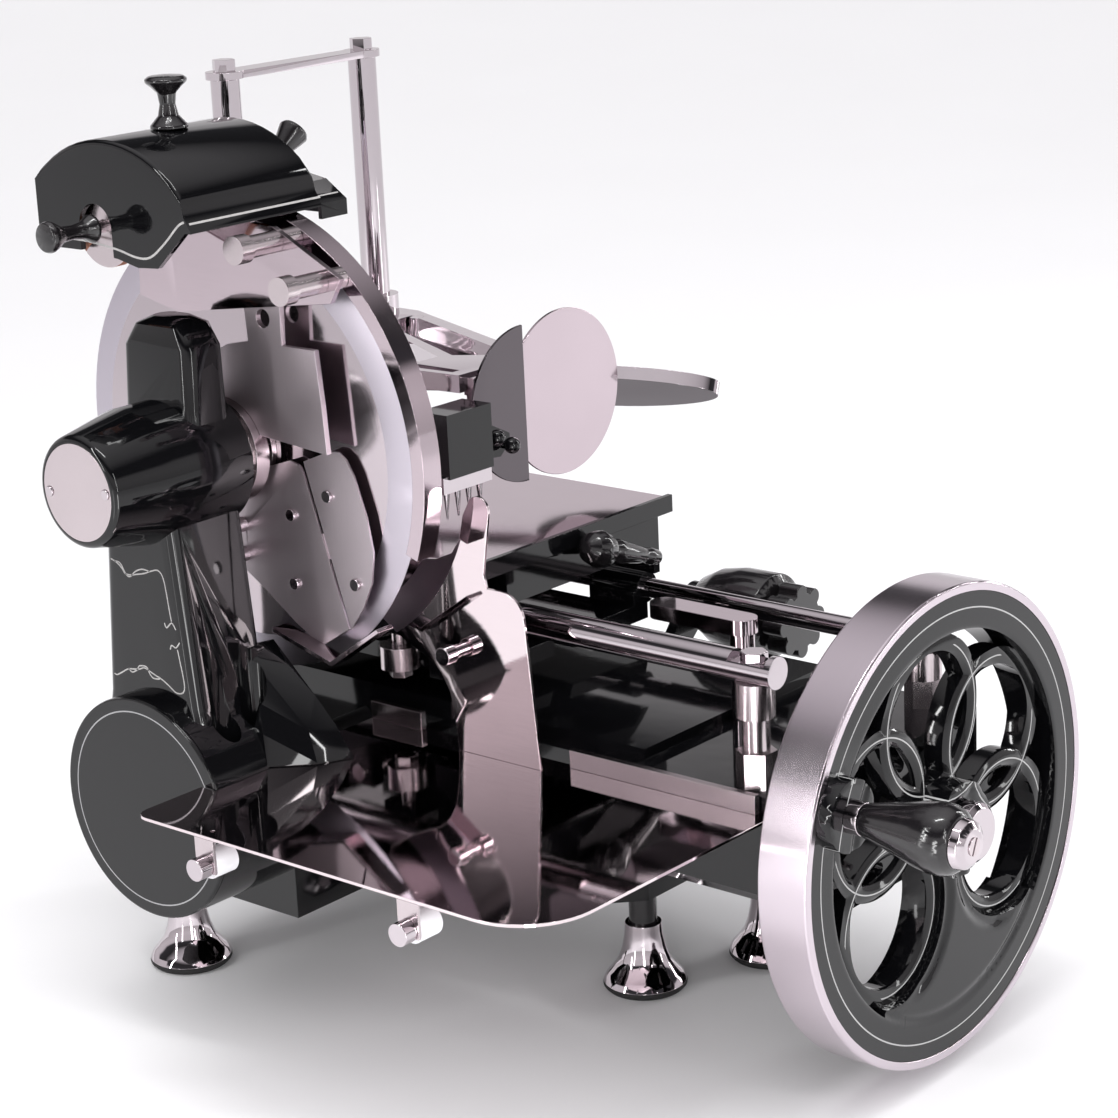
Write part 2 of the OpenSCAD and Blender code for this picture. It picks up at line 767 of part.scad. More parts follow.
// Machined sleeve round the blade shaft, between the column and the blade
module blade_sleeve() {
    color(steel) stand() translate([column_x1 + seat, shaft_y, shaft_z]) difference() {
        union() {
            bar_x(sleeve_r - 4, sleeve_l);
            translate([sleeve_l / 2, 0, 0]) bar_x(sleeve_r, sleeve_l / 2);
        }
        translate([-cut, 0, 0]) bar_x(blade_shaft_d / 2 + run, sleeve_l + 2 * cut);
    }
}
sleeve_l = blade_x - dish_t - blade_t - sleeve_gap - column_x1 - 6;

// Upright plate that turns the slices off the blade, with an arm to the ring and a lever tab on top
module slice_deflector() {
    color(bright) stand() translate([deflect_x, 0, tray_z]) difference() {
        slab_x(deflect_t) polygon(concat(
            [[224, 0], [293, 0], [294, 18], [298, 38]],
            arc([330, 30], 32, 155, 100, 5),
            [[342, 70], [360, 82], [362, 90], [346, 108], [327, 122], [320, 124]],
            [[304, 126], [290, 132], [283, 142], [279, 158]],
            arc([266, 163], 9, 20, 200, 8),
            [[264, 122], [262, 113]],
            arc([250, 95], 18, 90, 180, 6)
        ));
        translate([-cut, stud_y, stud_z - tray_z]) bar_x(stud_r + seat, deflect_t + 2 * cut);
    }
}
deflect_x = -122;
deflect_t = 2;
stud_y = 288;
stud_z = 96;
stud_r = 4;

// Slim lever on the deflector's stud
module deflector_lever() {
    color(bright) stand() translate([deflect_x + deflect_t + pass, stud_y, stud_z]) difference() {
        hull() {
            bar_x(7, 3);
            translate([0, -6, 40]) bar_x(3, 3);
        }
        translate([-cut, 0, 0]) bar_x(stud_r + run, 3 + 2 * cut);
    }
}

// Cross stud of the deflector with a knob at each end
module deflector_stud() {
    color(bright) stand() translate([-138, stud_y, stud_z]) {
        bar_x(stud_r, 31);
        bar_x(6, 9);
        translate([22, 0, 0]) bar_x(6, 9);
    }
}

// Polished carrier over the blade for the stones and the hood
module sharpener_base() {
    color(bright) stand() difference() {
        union() {
            translate([plate_x, shaft_y, shaft_z]) slab_x(guard_t) polygon(concat(
                [for (p = plate_low_places) [p[0], ring_outer + p[1]]],
                [for (y = plate_top_places) [y, base_z - shaft_z]],
                [for (p = plate_back_places) [p[0], ring_outer + p[1]]]
            ));
            // front strip under the hood, with the lug of the honing stone at its right end
            translate([plate_x, strip_y, base_z]) cube([lug_x + lug_t - plate_x, strip_w, guard_t]);
            translate([lug_x, strip_y, base_z]) cube([lug_t, hone_y - strip_y, guard_t]);
            translate([lug_x, hone_y, base_z]) slab_x(lug_t) {
                circle(r = lug_r);
                translate([-lug_r, 0]) square([2 * lug_r, hone_z - base_z]);
                translate([0, hone_z - base_z]) circle(r = lug_r);
            }
            // boss of the grinding stone on the upright plate
            translate([plate_x - boss_l, grind_y, grind_z]) bar_x(lug_r, boss_l + guard_t);
            translate([plate_x, grind_y - lug_r, base_z - lug_r])
                cube([guard_t, 2 * lug_r, lug_r + grind_z - base_z]);
        }
        for (p = pin_places) translate([bracket_x - 2 * guard_t, p[0], p[1]]) bar_x(pin_r + seat, 3 * guard_t);
        translate([plate_x - 2 * boss_l, grind_y, grind_z]) bar_x(spindle_pin_r + run, 4 * boss_l);
        translate([hone_x, hone_y, hone_z]) bar_x(spindle_pin_r + run, hone_t + pass + 2 * lug_t);
    }
}
// The sharpener's heights follow the ring's top
base_gap = 1.5;
base_z = ring_top + base_gap;
grind_gap = 3;
grind_sink = 9.5;
grind_x = hood_x + hood_wall + grind_gap;
grind_y = 473;
grind_z = ring_top - grind_sink;
hone_r = 15;
hone_x = -135.5;
hone_y = 423;
hone_lift = 7.5;
hone_z = ring_top + hone_lift;
// Places round the upright plate, across from the shaft and above the ring's top
plate_low_places = [[-118, -39.5], [-108, -55.5], [-45, -63.5], [30, -73.5], [66, -65.5]];
plate_top_places = [62, -41];
plate_back_places = [[-43, -10.5], [-62, -11.5]];
plate_x = bracket_x - guard_t - seat;
stone_t = 8;
strip_y = hood_front + hood_wall + 2 * pass;
strip_w = 5;
lug_t = 4;
hone_t = 5;
lug_x = hone_x + hone_t + pass;
lug_r = 8;
boss_l = 14;
spindle_pin_r = 4;
pin_r = 5;
// Depths of the two cross pins below the top of the ring
pin_sinks = [42.5, 20.5];
// Places of the two cross pins, along the flywheel's shaft and above the ring's top
pin_places = [[341, ring_top - pin_sinks[0]], [378, ring_top - pin_sinks[1]]];

// Hood over the stones, open below, that lifts straight off
module sharpener_hood() {
    color(coat) stand() translate([hood_x, 0, 0]) difference() {
        union() {
            slab_x(hood_w) polygon(hood_outline(0));
            // wing over the honing stone's side
            translate([hood_w - cut, 0, 0]) slab_x(wing_w + cut) polygon(wing_outline(0));
        }
        translate([hood_wall, 0, 0]) slab_x(hood_w - 2 * hood_wall) polygon(hood_outline(hood_wall));
        translate([hood_w - hood_wall - cut, 0, 0]) slab_x(wing_w + hood_wall + cut - wing_t) polygon(wing_outline(wing_t));
        // slot for the grinding stone's spindle
        translate([-cut, grind_y - slot_r, grind_z - hood_drop]) cube([hood_wall + 2 * cut, 2 * slot_r, hood_drop]);
        translate([-cut, grind_y, grind_z]) bar_x(slot_r, hood_wall + 2 * cut);
    }
}

// Outline of the hood in Y and Z, drawn in from its wall and open below where it is drawn in
function hood_outline(inset) = let (drop = inset > 0 ? hood_drop : 0) concat(
    [[hood_back - inset, hood_low_z - drop], [hood_back - inset, hood_low_z + hood_back_h]],
    arc([crown_y, crown_z], crown_r - inset, crown_arc[0], crown_arc[1], 14),
    [[hood_front + inset, lip_z + lip_rise], [hood_front + inset - lip_out / 3, lip_z + lip_step]],
    [[hood_front + inset - lip_out, lip_z + lip_edge]],
    [[hood_front + inset - lip_out, lip_z - drop], [hood_front + inset - lip_out + hood_wall + cut, lip_z - drop]],
    [for (b = belly_places) [crown_y + b[0], hood_low_z + b[1] - drop]]
);

// Outline of the wing in Y and Z, drawn in from its wall
function wing_outline(inset) = let (drop = inset > 0 ? hood_drop : 0) concat(
    [[wing_y1 - inset, lip_z - wing_drop - drop], [wing_y1 - inset, lip_z + wing_h / 2]],
    arc([wing_y1 - wing_h, lip_z], wing_h - inset, wing_arc[0], wing_arc[1], 6),
    [[hood_front + wing_h / 2 + inset / 2, lip_z + 0.75 * wing_h - inset / 2]],
    [[hood_front + inset - lip_out, lip_z + wing_sink], [hood_front + inset - lip_out, lip_z - wing_drop - drop]]
);

// Mushroom knob that lifts the hood
module hood_knob() {
    color(blackware) stand() translate([hood_x + hood_w / 2, knob_y, crown_z + crown_r + seat]) rotate_extrude()
        polygon(knob_r * mushroom_shares);
}

// Two cross pins with knurled ends
module sharpener_pins() {
    color(steel) stand() {
        for (p = pin_places) translate([pin_x, p[0], p[1]]) {
            bar_x(9, 10);
            translate([0, 0, 0]) bar_x(pin_r, blade_x - ring_t / 2 - pin_x - seat);
            translate([10 + seat, 0, 0]) bar_x(7, bracket_x - guard_t - pin_x - 10 - 3 * seat);
            translate([bracket_x - pin_x + seat, 0, 0]) bar_x(7, blade_x - ring_t / 2 - bracket_x - 3 * seat);
        }
    }
}

pin_x = -206;

// Wheel that grinds the bevel, on the spindle of its knob
module grinding_stone() {
    stone(grind_x, grind_y, grind_z, stone_r, stone_t);
    color(steel) stand() translate([hood_x - spindle_out, grind_y, grind_z])
        bar_x(spindle_pin_r, bracket_x - hood_x + spindle_out);
}
// Wheel that takes the burr off the other side
module honing_stone() {
    stone(hone_x, hone_y, hone_z, hone_r, hone_t);
    color(steel) stand() translate([hone_x + hone_t - cut, hone_y, hone_z])
        bar_x(spindle_pin_r, cut + pass + lug_t + cut);
}
// One stone along X
module stone(x, y, z, r, t) {
    color(stone_tint) stand() translate([x, y, z]) bar_x(r, t);
}
spindle_out = 2;

// Spool shaped knob of the grinding stone
module stone_knobs() {
    color(blackware) stand() translate([hood_x - spindle_out - seat, grind_y, grind_z]) turned_x()
        polygon(knob_r * spool_shares);
}

// Conical knob that sets the stones' stop, leaning out of the hood's right end
module stop_knob() {
    color(blackware) stand() difference() {
        translate([hood_x + hood_w - hood_wall, stop_y, stop_z]) rotate([0, stop_tip, 0]) rotate_extrude()
            polygon(knob_r * stop_shares);
        translate([hood_x, stop_y - stop_clear, stop_z - stop_clear])
            cube([hood_w + seat, 2 * stop_clear, 2 * stop_clear]);
    }
}

// Steel rim of the flywheel
module flywheel_rim() {
    color(bright) stand() difference() {
        turned_y() polygon([
            [band_r + seat, 0], [wheel_r - cut, 0], [wheel_r, cut], [wheel_r, rim_w - cut], [wheel_r - cut, rim_w],
            [band_r + seat, rim_w]
        ]);
        // clear of the grip's spindle, also on a small wheel
        rotate([0, -grip_turn, 0]) translate([throw_r, -cut, 0]) bar_y(spindle_r + seat, rim_w + 2 * cut);
    }
}

// Cast body of the flywheel: band, solid lobe, petal spokes, hub and grip boss
module flywheel_disc() {
    color(coat) stand() difference() {
        union() {
            translate([0, face_drop, 0]) slab_y(rim_w - 2 * face_drop) difference() {
                circle(r = band_r);
                difference() {
                    circle(r = dish_r);
                    solid_lobe();
                }
            }
            translate([0, dish_drop, 0]) slab_y(spoke_t) intersection() {
                spokes();
                circle(r = dish_r + seat);
            }
            translate([0, dish_drop + leaf_sink, 0]) slab_y(spoke_t - 2 * leaf_sink) leaves();
            translate([0, -hub_rise, 0]) bar_y(hub_r, dish_drop + spoke_t + 2 * hub_rise);
            rotate([0, -grip_turn, 0]) translate([throw_r, -boss_rise, 0]) bar_y(boss_r, boss_rise + dish_drop + spoke_t);
        }
        translate([0, -hub_rise - cut, 0]) bar_y(wheel_shaft_d / 2 + seat, rim_w + 4 * hub_rise);
        rotate([0, -grip_turn, 0]) translate([throw_r, -boss_rise - cut, 0])
            bar_y(spindle_r + seat, boss_rise + dish_drop + spoke_t + 2 * cut);
        // room for the rim
        turned_y() polygon([[band_r, -seat], [wheel_r + boss_r, -seat], [wheel_r + boss_r, rim_w], [band_r, rim_w]]);
    }
}

// Solid part between two petals that balances the wheel
module solid_lobe() {
    difference() {
        polygon(concat([[0, 0]], arc([0, 0], wheel_r, petal_angle(solid_petal) - petal_turn / 2 - 14,
            petal_angle(solid_petal) + petal_turn / 2 + 14, 8)));
        for (s = [-1, 1]) petal(solid_petal + s) circle(r = petal_r + ribbon_w / 2);
    }
}

// Direction of one petal
function petal_angle(i) = first_petal + i * petal_turn;

// Place of one petal's centre
module petal(i) { rotate(petal_angle(i)) translate([petal_place, 0]) children(); }

// Interlaced ribbons, one ring for each open petal, with a slotted leaf where two rings cross
module spokes() {
    circle(r = hub_r);
    for (i = [0:petals - 1]) if (i != solid_petal) petal(i) difference() {
        circle(r = petal_r + ribbon_w / 2);
        circle(r = petal_r - ribbon_w / 2);
    }
    rotate(petal_angle(solid_petal)) translate([hub_r / 2, -hub_r / 2]) square([hub_r, hub_r]);
}

// Thin plates in the leaf shaped gaps between neighbouring rings
module leaves() {
    for (i = [0:petals - 1]) if (i != solid_petal && (i + 1) % petals != solid_petal) difference() {
        intersection() {
            petal(i) circle(r = petal_r);
            petal(i + 1) circle(r = petal_r);
        }
        rotate(petal_angle(i) + petal_turn / 2) translate([petal_place * leaf_place_share, 0])
            for (s = [-1, 1]) leaf_slot(s);
    }
}

// Half of the slot in a leaf
module leaf_slot(s) {
    translate([s * slot_half, 0]) circle(r = leaf_slot_r);
    translate([-slot_half, -leaf_slot_r]) square([2 * slot_half, 2 * leaf_slot_r]);
}

// Bright cap over the shaft's end
module hub_cap() {
    color(bright) stand() translate([0, -hub_rise, 0]) turned_y() polygon([
        [0, 0], [cap_r, 0], [cap_r, -cap_t + 3], [cap_r - 3, -cap_t], [0, -cap_t]
    ]);
}

// Shaft from the flywheel to the bevel gears
module flywheel_shaft() {
    color(steel) stand() translate([0, seat - hub_rise, 0])
        bar_y(wheel_shaft_d / 2, shaft_y - bevel_r - tooth_h - seat + hub_rise);
}

// Bevel gear on the flywheel shaft
module drive_bevel() {
    color(steel) stand() translate([0, shaft_y - bevel_r - tooth_h, 0]) bevel_gear(bevel_teeth, wheel_shaft_d / 2);
}

// Bevel gear along +Y with straight teeth on its face
module bevel_gear(teeth, bore) {
    difference() {
        union() {
            translate([0, -2 * tooth_h, 0]) bar_y(bevel_r, 2 * tooth_h);
            for (i = [0:teeth - 1]) rotate([0, i * 360 / teeth, 0])
                translate([bevel_in, -seat, -0.19 * PI * bevel_r / teeth * 2])
                    cube([bevel_r - bevel_in, tooth_h, 0.38 * PI * bevel_r / teeth * 2]);
        }
        translate([0, -3 * tooth_h, 0]) bar_y(bore + seat, 5 * tooth_h);
    }
}

// Pin in the flywheel that the grip turns on, with its collar
module grip_spindle() {
    color(bright) at_grip() {
        translate([0, -boss_rise - collar_l - grip_l, 0]) bar_y(spindle_r, grip_l + collar_l + boss_rise + spoke_t);
        translate([0, -boss_rise - collar_l, 0]) bar_y(collar_r, collar_l);
    }
}
module at_grip() { stand() rotate([0, -grip_turn, 0]) translate([throw_r, 0, 0]) children(); }

// Turned grip
module grip() {
    color(blackware) at_grip() translate([0, -boss_rise - collar_l - pass / 2, 0]) rotate([90, 0, 0]) difference() {
        rotate_extrude() polygon(turned_points(grip_shares, grip_l, grip_r));
        translate([0, 0, -cut]) cylinder(r = spindle_r + run, h = grip_l + 2 * cut);
    }
}

// Bright cap at the grip's end
module grip_cap() {
    color(bright) at_grip() translate([0, -boss_rise - collar_l - grip_l - pass / 2 - seat, 0]) rotate([90, 0, 0])
        rotate_extrude() polygon([[0, 0], [grip_cap_r, 0], [grip_cap_r - 1, grip_cap_t - 3],
            [grip_cap_r - 5, grip_cap_t], [0, grip_cap_t]]);
}

// Shaft that takes the drive to the chain
module cross_shaft() {
    color(steel) stand() translate([drum_x + drum_recess + seat, shaft_y, 0])
        bar_x(cross_r, cross_x1 - drum_x);
}

// Bevel gear on the cross shaft
module driven_bevel() {
    color(steel) stand() translate([-bevel_r - tooth_h, shaft_y, 0]) rotate([0, 0, -90])
        rotate([0, 180 / bevel_teeth, 0]) bevel_gear(bevel_teeth, cross_r);
}

// Chain wheel on the cross shaft
module lower_sprocket() {
    color(steel) stand() translate([chain_x - sprocket_t / 2, shaft_y, 0]) sprocket(low_teeth, low_pitch_r, cross_r);
}

// Chain wheel along X with round tooth gaps
module sprocket(teeth, r, bore) {
    difference() {
        bar_x(r + 1.5, sprocket_t);
        for (i = [0:teeth - 1]) rotate([i * 360 / teeth, 0, 0])
            translate([-cut, r, 0]) bar_x(0.33 * pitch, sprocket_t + 2 * cut);
        translate([-cut, 0, 0]) bar_x(bore + seat, sprocket_t + 2 * cut);
    }
}

// Drive chain round the two chain wheels
module drive_chain() {
    color(steel) stand() translate([chain_x - chain_w / 2, shaft_y, 0]) difference() {
        chain_loop(chain_h - 3);
        translate([-cut, 0, 0]) chain_loop(2.2);
    }
}
module chain_loop(extra) {
    hull() {
        bar_x(low_pitch_r + extra, chain_w + (extra < 3 ? 2 * cut : 0));
        translate([0, 0, shaft_z]) bar_x(top_pitch_r + extra, chain_w + (extra < 3 ? 2 * cut : 0));
    }
}

// Dished blade with a ground bevel
module blade() {
    color(bright) at_blade() turned_x() polygon([
        [blade_shaft_d / 2 + seat, -blade_t - 2], [blade_hub_r, -blade_t - 2], [blade_r - bevel_w, -dish_t],
        [blade_r - 0.3, -0.3], [blade_r, 0], [blade_r - 4, 0], [blade_hub_r, -2], [blade_shaft_d / 2 + seat, -2]
    ]);
}

// Shaft of the blade with its flange and chain wheel
module blade_shaft() {
    color(steel) at_blade() {
        translate([boss_x + boss_plate_t + 2 - blade_x, 0, 0])
            bar_x(blade_shaft_d / 2, blade_x - boss_x - boss_plate_t - 2);
        translate([-blade_t - 2 - 4 - seat, 0, 0]) bar_x(blade_hub_r - 4, 4);
    }
    color(steel) stand() translate([chain_x - sprocket_t / 2, shaft_y, shaft_z])
        sprocket(top_teeth, top_pitch_r, blade_shaft_d / 2);
}

// Lower carriage with its sleeves on both rods
module carriage_frame() {
    color(coat) stand() difference() {
        union() {
            translate([frame_x0, frame_y0, frame_z0]) cube([frame_x1 - frame_x0, frame_y1 - frame_y0, frame_t]);
            for (y = [frame_y0, frame_y1 - sleeve_len]) {
                translate([rod_x, y, rod_z]) bar_y(rod_d / 2 + 5, sleeve_len);
                translate([rod_x, y, frame_z0]) cube([frame_x0 - rod_x + cut, sleeve_len, rod_z - frame_z0]);
                translate([small_rod_x, y, small_rod_z]) bar_y(small_rod_d / 2 + 4, sleeve_len);
                translate([frame_x1 - cut, y, frame_z0])
                    cube([small_rod_x - frame_x1 + cut, sleeve_len, small_rod_z - frame_z0]);
            }
            // arm of the roller, with its web on the plate
            translate([rod_x - 12, roller_y - 14, 88]) cube([40, 28, 8]);
            translate([frame_x0 + cut, roller_y - 14, frame_z0]) cube([15, 28, 96 - frame_z0]);
            // block that the table box slides on
            translate([slide_x, slide_y, frame_z0]) cube([frame_x1 - slide_x, slide_l, box_top - pass / 2 - frame_z0]);
            // nut posts of the feed screw
            for (x = [frame_x0, frame_x1 - 10]) translate([x, screw_y - 12, frame_z0 + frame_t - cut])
                cube([10, 24, screw_z + 10 - frame_z0 - frame_t]);
        }
        translate([rod_x, frame_y0 - cut, rod_z]) bar_y(rod_d / 2 + run, frame_y1 - frame_y0 + 2 * cut);
        translate([small_rod_x, frame_y0 - cut, small_rod_z])
            bar_y(small_rod_d / 2 + run, frame_y1 - frame_y0 + 2 * cut);
        translate([frame_x0 - cut, screw_y, screw_z]) bar_x(screw_r + run, frame_x1 - frame_x0 + 2 * cut);
        translate([roller_x, roller_y, 60]) cylinder(r = 5 + run, h = 60);
        // slot that passes the crank's upright
        translate([-crank_slot / 2, frame_y0 - cut, frame_z0 - cut]) cube([crank_slot, slot_l + cut, frame_t + 2 * cut]);
    }
}
crank_slot = 20;
slot_l = 56;
slide_x = 37;
slide_y = 446;
slide_l = 54;
frame_x0 = -77;
frame_x1 = 76;
frame_y0 = 306;
frame_y1 = 520;
frame_z0 = 58;
frame_t = 12;
sleeve_len = 40;
roller_x = -92;
roller_y = 370;
roller_r = 13.5;
screw_y = 430;
screw_z = 86;
screw_r = 6;

// Ball bearing that runs along the rails
module carriage_roller() {
    color(steel) stand() translate([roller_x, roller_y, 0]) {
        translate([0, 0, 62]) cylinder(r = roller_r, h = 16);
        translate([0, 0, 56]) hex(14, 6);
        translate([0, 0, 78]) cylinder(r = 5, h = 20);
    }
}

// Screw that feeds the table towards the blade
module feed_screw() {
    color(steel) stand() translate([frame_x0 - 2, screw_y, screw_z]) bar_x(screw_r, frame_x1 - frame_x0 + 4);
}

// Crank on an upright shaft that drives the carriage
module link_bar() {
    color(bright) stand() translate([0, crank_y, 0]) {
        translate([0, 0, crank_z]) linear_extrude(crank_t) {
            circle(r = crank_w / 2);
            translate([-crank_w / 2, 0]) square([crank_w, crank_l]);
            translate([0, crank_l]) circle(r = crank_w / 2);
        }
        translate([0, 0, nose_z - wall]) cylinder(r = crank_pin_r, h = crank_z - nose_z + wall + cut);
    }
}
crank_y = 156;
crank_l = 62;
crank_z = 98;
crank_t = 10;
crank_w = 20;
crank_pin_r = 8;

// Box under the food table
module table_box() {
    color(coat) stand() difference() {
        union() {
            translate([box_x0, box_y0, box_z0]) cube([box_x1 - box_x0, box_y1 - box_y0, table_z - table_t - box_z0]);
            translate([box_x1 - box_wall, box_y0, apron_z]) cube([box_wall, box_y1 - box_y0, box_z0 - apron_z + cut]);
            // dark strip along the table's front
            translate([plate_x0, box_y0 - plate_out - strip_t, strip_z])
                cube([plate_x1 - plate_x0, strip_t - seat, strip_h]);
            translate([box_x0, box_y0 - plate_out - strip_t, strip_z])
                cube([box_x1 - box_x0, plate_out + strip_t + cut, table_z - table_t - strip_z]);
        }
        translate([box_x0 + box_wall, box_y0 + box_wall, box_z0 - cut])
            cube([box_x1 - box_x0 - 2 * box_wall, box_y1 - box_y0 - 2 * box_wall, box_top - box_z0 + cut]);
        translate([lever_x, box_y0 - plate_out - strip_t - cut, lever_z])
            bar_y(4 + run, box_wall + plate_out + strip_t + 2 * cut);
    }
}
box_x0 = -72;
box_x1 = 85;
box_y0 = 290;
box_y1 = 566;
box_z0 = 112;
apron_z = 95;
box_wall = 6;
table_z = 148;
box_top = table_z - table_t - box_wall;
plate_x0 = -116;
plate_x1 = 90;
plate_out = 5;
strip_t = 4;
strip_h = 12;
strip_z = 138;

// Polished plate of the food table with its dark front strip
module table_plate() {
    color(bright) stand() translate([0, 0, table_z - table_t]) difference() {
        linear_extrude(table_t) {
            translate([plate_x0, box_y0 - plate_out])
                square([plate_x1 - plate_x0, box_y1 - box_y0 + 2 * plate_out]);
            translate([post_xs[1], post_back]) circle(r = post_d / 2 + plate_out);
        }
        for (x = post_xs) translate([x, post_back, -cut]) cylinder(r = post_d / 2 + seat, h = table_t + 2 * cut);
    }
}
post_xs = [-43, 90];
post_back = 550;

// Ball lever on the table's front
module release_lever() {
    color(blackware) stand() translate([lever_x, box_y0, lever_z]) {
        translate([0, -lever_out, 0]) bar_y(4, lever_out + box_wall + 3);
        translate([0, -lever_out, 0]) rotate([0, lever_turn, 0]) rotate_extrude() polygon([
            [0, -10], [5, -8], [6, 0], [5, 7], [6, 12], [8.5, 36], [7, 42], [11, 48], [12.5, 56], [10, 64], [4, 68], [0, 68]
        ]);
    }
}
lever_x = 47;
lever_z = 119;
lever_turn = -71;
lever_out = 22;

// Two chrome posts of the food clamp
module clamp_posts() {
    color(bright) stand() for (x = post_xs) translate([x, post_back, table_z - table_t])
        cylinder(r = post_d / 2, h = post_h + table_t);
}

// Flat bar that joins the posts' tops, with its hex bolts
module post_bar() {
    color(bright) stand() {
        translate([0, post_back, table_z + post_h + seat]) linear_extrude(5) {
            for (x = post_xs) translate([x, 0]) circle(r = 13);
            translate([post_xs[0], -10]) square([post_xs[1] - post_xs[0], 20]);
        }
        for (x = post_xs) translate([x, post_back, table_z + post_h + 5 + seat]) hex(14, 8);
    }
}

// Triangular arm of the clamp with its two sleeves
module clamp_arm() {
    color(bright) stand() difference() {
        union() {
            translate([0, 0, arm_z]) linear_extrude(arm_t) polygon([
                [post_xs[0] - 14, post_back + 4], [post_xs[0] - 12, post_back - 30], [-44, arm_y], [30, arm_y],
                [post_xs[1] + 12, post_back - 30], [post_xs[1] + 14, post_back + 4]
            ]);
            for (x = post_xs) translate([x, post_back, arm_z - arm_t]) cylinder(r = post_d / 2 + 6, h = 3 * arm_t);
        }
        for (x = post_xs) translate([x, post_back, arm_z - arm_t - cut])
            cylinder(r = post_d / 2 + run, h = 3 * arm_t + 2 * cut);
        for (p = arm_recesses) translate([0, 0, arm_z + arm_t - arm_sink]) linear_extrude(arm_t) polygon(p);
        translate([0, 0, arm_z - cut]) linear_extrude(arm_t + 2 * cut)
            polygon([[-26, 500], [-26, 400], [-8, 400], [44, 500]]);
        translate([tongue_x, tongue_y, arm_z - cut]) cylinder(r = tongue_pin_r + run, h = arm_t + 2 * cut);
    }
}
arm_z = 240;
arm_t = 12;
arm_sink = 4;
arm_recesses = [[[-46, 508], [-39, 358], [-32, 358], [-32, 508]], [[0, 394], [22, 358], [86, 512], [57, 512]]];
arm_y = 348;
tongue_x = 84;
tongue_y = 505;
tongue_pin_r = 5;

// Block with the spiked bar that holds the food, and the lug of the guard plates' screws
module clamp_head() {
    color(bright) stand() {
        translate([head_x, head_y, head_z]) cube([head_w, plates_y - seat - head_y, head_h]);
        translate([head_x - 2, head_y + 4, head_z - bar_h]) cube([head_w + 4, bar_h, bar_h + cut]);
        for (i = [0:spikes - 1])
            translate([head_x + head_w / spikes * (i + 0.5), head_y + 4 + bar_h / 2, head_z - bar_h - spike_l])
                cylinder(r1 = spike_tip_r, r2 = spike_r, h = spike_l + cut);
        translate([head_x + head_w - cut, plates_y - lug_y, 0]) slab_y(lug_y - seat) polygon([
            [0, head_z + 2], [lug_w * 0.7, head_z], [lug_w, head_z + 8], [lug_w, head_z + 14], [0, head_z + 30]
        ]);
        for (p = head_screws) translate([p[0], plates_y - lug_y - screw_out, p[1]]) {
            bar_y(screw_neck_r, screw_out + cut);
            sphere(r = screw_ball_r);
        }
    }
}
head_y = 312;
head_x = -96;
head_w = 42;
head_z = 198;
head_h = 42;
bar_h = 10;
spikes = 4;
spike_l = 18;
spike_r = 2.5;
spike_tip_r = 0.6;
lug_y = 12;
lug_w = 32;
head_screws = [[-44, 214], [-30, 206]];
screw_out = 8;
screw_neck_r = 3;
screw_ball_r = 5.5;
plates_y = 337;

// Two guard plates between the hand and the food
module guard_plates() {
    color(bright) stand() {
        translate([8, plates_y, 224]) intersection() {
            bar_y(53, plate_t);
            translate([-60, -cut, -60]) cube([60, 4 * cut, 120]);
        }
        translate([-40, plates_y + plate_t, 224]) cube([50, arm_y - seat - plates_y - 2 * plate_t, 14]);
        translate([58, arm_y - seat - plate_t, 221]) bar_y(57, plate_t);
        translate([-40, plates_y + plate_t, 238]) cube([50, arm_y - seat - plates_y - plate_t, 12]);
    }
}
plate_t = 2;

// Tongue shaped handle of the clamp, dished and tipped towards the operator
module clamp_tongue() {
    color(bright) stand() translate([tongue_x, tongue_y, tongue_z]) {
        cylinder(r = tongue_hub_r, h = arm_z - tongue_z - pass / 2);
        cylinder(r = tongue_pin_r, h = arm_z + arm_t - tongue_z);
        rotate([0, 0, tongue_turn]) {
            linear_extrude(tongue_t) {
                circle(r = tongue_hub_r + 2);
                translate([0, -tongue_neck / 2]) square([tongue_far - tongue_l / 2 + tongue_neck, tongue_neck]);
            }
            translate([tongue_far, 0, tongue_t / 2]) rotate([tongue_tip, 0, 0]) difference() {
                translate([0, 0, -tongue_t / 2]) linear_extrude(tongue_t) tongue_outline(0);
                translate([0, 0, tongue_t / 2 - tongue_dish]) linear_extrude(tongue_t) tongue_outline(tongue_edge);
            }
        }
    }
}

// Long oval of the tongue, drawn in from its edge
module tongue_outline(inset) {
    polygon([for (i = [0:47]) [(tongue_l / 2 - inset) * cos(i * 7.5) , (tongue_w / 2 - inset) * sin(i * 7.5)
        * (1 - 0.12 * cos(i * 7.5))]]);
}
tongue_z = 200;
tongue_turn = -67;
tongue_tip = -38;
tongue_t = 10;
tongue_l = 140;
tongue_w = 46;
tongue_far = 152;
tongue_neck = 16;
tongue_hub_r = 9;
tongue_edge = 4;
tongue_dish = 3;

// Thickness dial: bell shaped drum with a lobed knob
module thickness_dial() {
    color(blackware) stand() translate([dial_x, dial_y, dial_z]) {
        turned_y() polygon([[0, 0], [24, 0], [30, 3], [30, 30], [27, 48], [20, 62], [14, 66], [0, 66]]);
        translate([0, -20, 0]) slab_y(16) {
            circle(r = 20);
            for (i = [0:7]) rotate(i * 45) translate([20, 0]) circle(r = 6);
        }
        translate([0, -4, 0]) bar_y(16, 4);
        translate([0, dial_l, 0]) bar_y(dial_pin_r, wall + 4);
    }
}
dial_x = 134;
dial_y = 226;
dial_z = 60;

